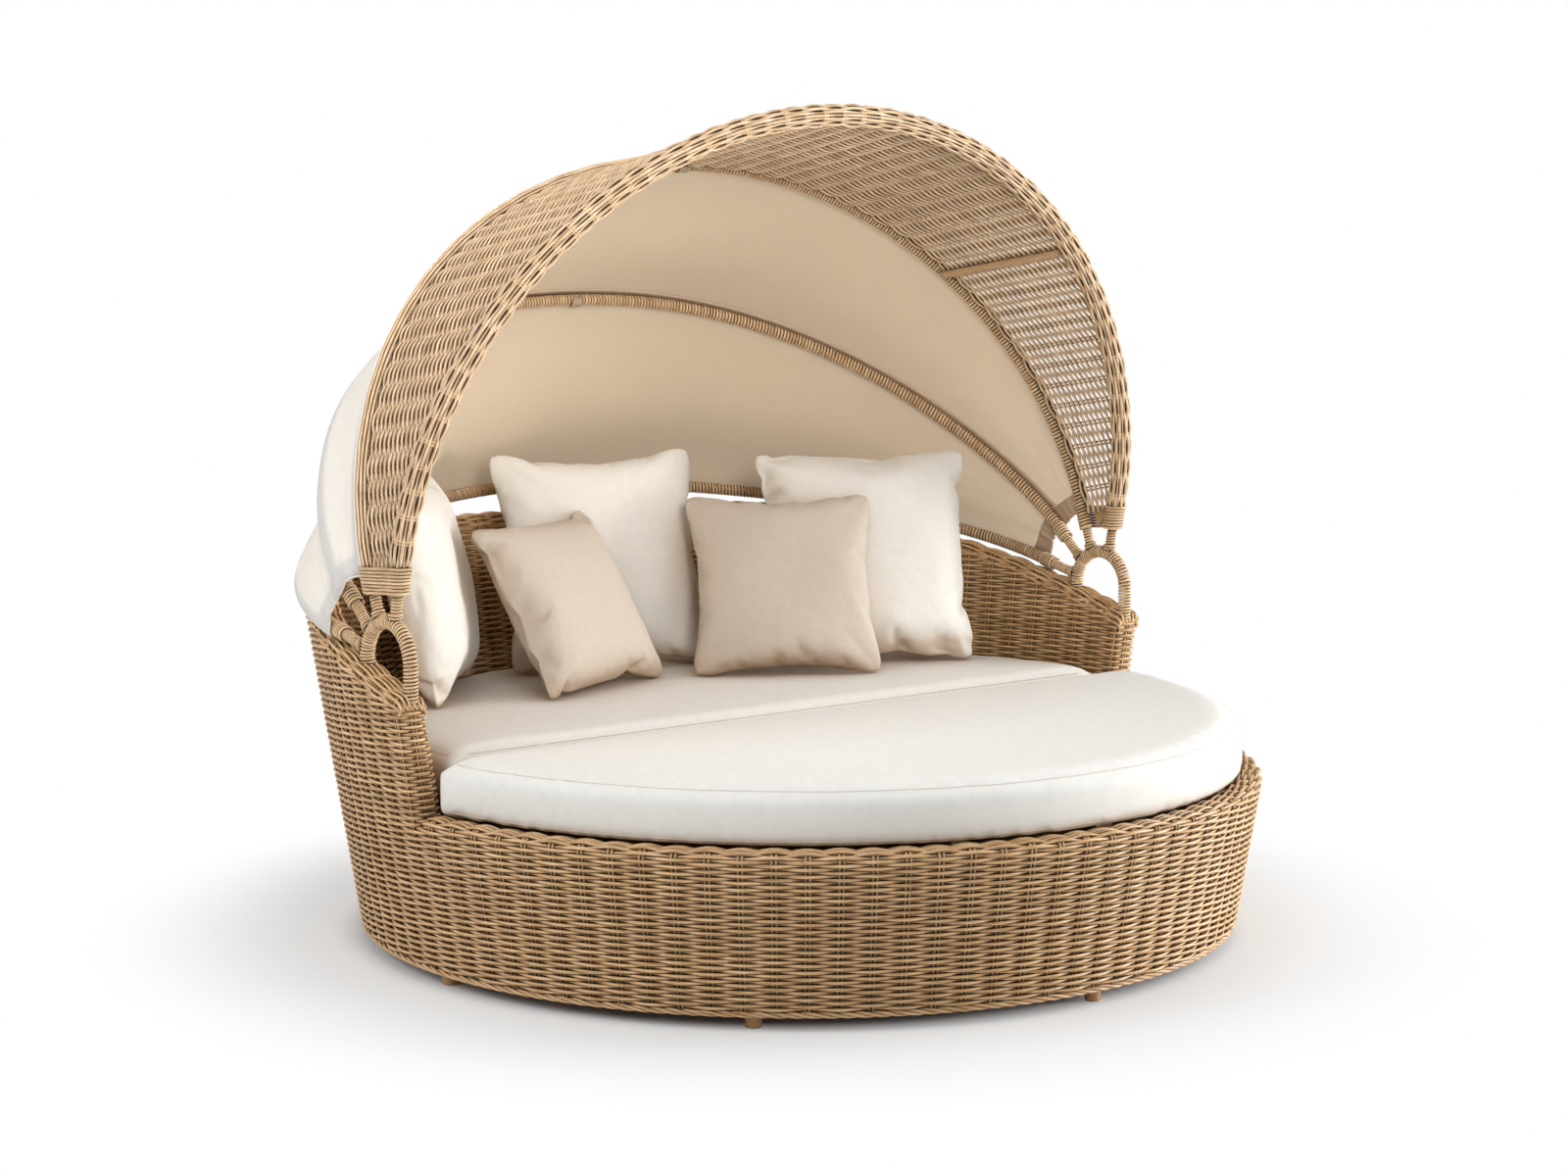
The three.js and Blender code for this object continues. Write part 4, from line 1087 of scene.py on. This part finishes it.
def settle(draft, pressure, frames, cap, stiffness=15, bending=0.5, full_depth=9):
    """Inflates a closed mesh as cloth, up to a depth or a number of frames, no point moved past a cap."""
    start = [v.co.copy() for v in draft.data.vertices]
    cloth = draft.modifiers.new("cloth", "CLOTH")
    cloth.settings.quality = 5
    cloth.settings.mass = 0.3
    cloth.settings.tension_stiffness = stiffness
    cloth.settings.compression_stiffness = stiffness
    cloth.settings.shear_stiffness = stiffness * 0.4
    cloth.settings.bending_stiffness = bending
    cloth.settings.use_pressure = True
    cloth.settings.uniform_pressure_force = pressure
    cloth.settings.effector_weights.gravity = 0
    cloth.collision_settings.use_collision = False
    cloth.point_cache.frame_start = 1
    cloth.point_cache.frame_end = frames
    for number in range(1, frames + 1):
        scene.frame_set(number)
        mesh = bpy.data.meshes.new_from_object(draft.evaluated_get(bpy.context.evaluated_depsgraph_get()))
        heights = [v.co.z for v in mesh.vertices]
        if max(heights) - min(heights) > full_depth:
            break
    draft.modifiers.clear()
    scene.frame_set(1)
    for vertex, was in zip(mesh.vertices, start):
        step = vertex.co - was
        if step.length > cap:
            vertex.co = was + step * (cap / step.length)
    return mesh


def soften(piece, name, cloth, body, node):
    """Gives a padded piece its rounded skin, its cover and the CAD node that it stands for."""
    piece.data.name = name
    piece.data.shade_smooth()
    smooth = piece.modifiers.new("smooth", "SUBSURF")
    smooth.levels = smooth.render_levels = 1
    dress(piece, cloth, body, [node])


def seat_cushion(name, node, body, radius, split, forward):
    """A half-round cushion, with its seams, on the forward (-1) or rear (1) side of the split."""
    bottom = rim_height + cushion_gap
    form = bmesh.new()
    bmesh.ops.create_circle(form, cap_ends=True, segments=128, radius=radius - cover_gap)
    bmesh.ops.bisect_plane(form, geom=form.verts[:] + form.edges[:] + form.faces[:], clear_outer=True,
                           plane_co=Vector((0, split + forward * cover_gap, 0)),
                           plane_no=Vector((0, -forward, 0)))
    top = bmesh.ops.extrude_face_region(form, geom=form.faces[:])
    bmesh.ops.translate(form, vec=Vector((0, 0, cushion_height)),
                        verts=[g for g in top["geom"] if isinstance(g, bmesh.types.BMVert)])
    bmesh.ops.recalc_face_normals(form, faces=form.faces)
    edges = [e for e in form.edges if abs(e.verts[0].co.z - e.verts[1].co.z) < 1e-6]
    for level, roll in ((cushion_height, 0.015), (0.0, 0.008)):
        rim = [e for e in edges if e.is_valid and abs(e.verts[0].co.z - level) < 1e-6]
        bmesh.ops.bevel(form, geom=rim, offset=roll, segments=3, profile=0.5, affect="EDGES", material=-1)
    bmesh.ops.translate(form, vec=Vector((0, tub_axis_y, bottom)), verts=form.verts)
    piece = new_piece(name, form)
    remesh = piece.modifiers.new("even cells", "REMESH")
    remesh.mode = "VOXEL"
    remesh.voxel_size = 0.013
    bpy.context.view_layer.update()
    even = bpy.data.meshes.new_from_object(piece.evaluated_get(bpy.context.evaluated_depsgraph_get()))
    piece.modifiers.clear()
    piece.data = even
    piece.data = settle(piece, 2.5, 14, 0.016)
    peak = max(v.co.z for v in piece.data.vertices)
    for vertex in piece.data.vertices:
        x, y = vertex.co.x, vertex.co.y - tub_axis_y
        inside = min(1.0, max(0.0, (radius - math.hypot(x, y)) / 0.10))
        inside *= min(1.0, max(0.0, forward * (y - split) / 0.08))
        up = max(0.0, min(1.0, (vertex.co.z - bottom) / (peak - bottom)))
        swell = 1 - (1 - inside) ** 2
        vertex.co.z = max(bottom, bottom + up * (cushion_height + cushion_crown * swell) - 0.001 * up)
    soften(piece, name, cushion_cloth, body, node)
    bpy.context.view_layer.update()
    skin = BVHTree.FromObject(piece, bpy.context.evaluated_depsgraph_get())
    heart = Vector((0, tub_axis_y + forward * 0.45 * radius, 0))
    for part, level in (("top", cushion_height - 0.007), ("bottom", 0.009)):
        path = []
        for turn in [2 * math.pi * k / 360 for k in range(360)]:
            way = Vector((math.cos(turn), math.sin(turn), 0))
            spot, normal, _, _ = skin.ray_cast(heart + way * 2 + Vector((0, 0, bottom + level)), -way)
            path.append(spot - normal * 0.0002)
        dress(strands(f"{name}_{part}_seam", [path], seam_thread, True, 60), seam_cloth, body)


seat_cushion("front_seat_pad", "seat_cushion_front", "front_cushion", 0.918, -0.0303, -1)
seat_cushion("rear_seat_pad", "seat_cushion_rear", "rear_cushion", rear_radius, -0.030, 1)

# The loose pillows: square knife-edge covers with softly rounded corners and puckers along the seams,
# well filled, three large cream ones against the back and two smaller sand ones leaning on them.

pillow_cells = 44
corner_power = 17
pucker_depth = 0.007
pucker_reach = 0.20
cream_cloth = woven_cloth("cream pillow cloth", (0.85, 0.825, 0.765), wrinkle=0.42)
sand_cloth = woven_cloth("sand pillow cloth", (0.585, 0.51, 0.425), wrinkle=0.42)
pillow_seat = rim_height + cushion_gap + cushion_height + cushion_crown + cushion_gap
pillow_specs = [
    ("large_left", 0.5333, 0.172, (-0.5826, 0.6789), 48, 12, cream_cloth, "cream"),
    ("large_centre", 0.5619, 0.172, (0, 0.7798), -12, 16, cream_cloth, "cream"),
    ("large_right", 0.5562, 0.172, (0.5963, 0.453), -29, 18, cream_cloth, "cream"),
    ("throw_left", 0.4702, 0.1433, (-0.2661, 0.5596), 19, 31, sand_cloth, "sand"),
    ("throw_right", 0.4759, 0.1433, (0.305, 0.4323), -31, 25, sand_cloth, "sand"),
]
for number, (name, width_share, depth_share, places, yaw, lean, cloth, slot_name) in enumerate(pillow_specs):
    width, depth = width_share * rear_radius, depth_share * rear_radius
    flat_share = 0.13
    form = bmesh.new()
    bmesh.ops.create_grid(form, x_segments=pillow_cells, y_segments=pillow_cells, size=width / 2)
    for vertex in form.verts:
        u, v = vertex.co.x * 2 / width, vertex.co.y * 2 / width
        full = max(0.0, (1 - u * u) * (1 - v * v)) ** 0.5
        corner = (abs(u) ** corner_power + abs(v) ** corner_power) ** (1 / corner_power)
        rounding = max(abs(u), abs(v), 1e-6) / max(1e-6, corner)
        vertex.co = Vector((vertex.co.x * rounding, vertex.co.y * rounding, full * depth * 0.5 * flat_share))
    back = bmesh.ops.duplicate(form, geom=form.faces[:])
    rear_faces = [g for g in back["geom"] if isinstance(g, bmesh.types.BMFace)]
    bmesh.ops.scale(form, vec=Vector((1, 1, -1)), verts=list({v for f in rear_faces for v in f.verts}))
    bmesh.ops.remove_doubles(form, verts=form.verts, dist=1e-4)
    bmesh.ops.recalc_face_normals(form, faces=form.faces)
    for vertex in form.verts:
        vertex.co.z += 0.004 * noise.noise(vertex.co * 14 + Vector((number * 7.3, 0, 0)))
    flat_places = [(v.co.x * 2 / width, v.co.y * 2 / width, v.co.z) for v in form.verts]
    piece = new_piece(f"{name}_pad", form)
    piece.data = settle(piece, 20.0, 20, 0.10, 60, 0.02, depth * 0.95)
    for vertex, (u, v, height) in zip(piece.data.vertices, flat_places):
        edge = max(abs(u), abs(v))
        upright = abs(u) > abs(v)
        near = math.exp(-(1 - edge) / pucker_reach) * min(1.0, max(0.0, 1 - edge) / 0.05)
        pucker = noise.noise(Vector(((v if upright else u) * 8, edge * 1.5 + number * 3.1,
                                     math.copysign(5, height) + 7 * upright)))
        vertex.co.z += math.copysign(pucker_depth, height) * near * pucker
    low = Vector([min(v.co[i] for v in piece.data.vertices) for i in range(3)])
    high = Vector([max(v.co[i] for v in piece.data.vertices) for i in range(3)])
    size = high - low
    fit = Matrix.Diagonal((width / size.x, width / size.y, depth / size.z, 1))
    fit = fit @ Matrix.Translation(-(low + high) / 2)
    turn = Matrix.Rotation(math.radians(yaw), 4, "Z") @ Matrix.Rotation(math.radians(90 - lean), 4, "X")
    piece.data.transform(turn @ fit)
    floor_level = min(v.co.z for v in piece.data.vertices)
    shift = Vector((places[0] * rear_radius, places[1] * rear_radius + tub_axis_y, pillow_seat - floor_level))
    piece.data.transform(Matrix.Translation(shift))
    soften(piece, f"{name}_pad", cloth, f"{name}_pillow", f"pillow_{name}")
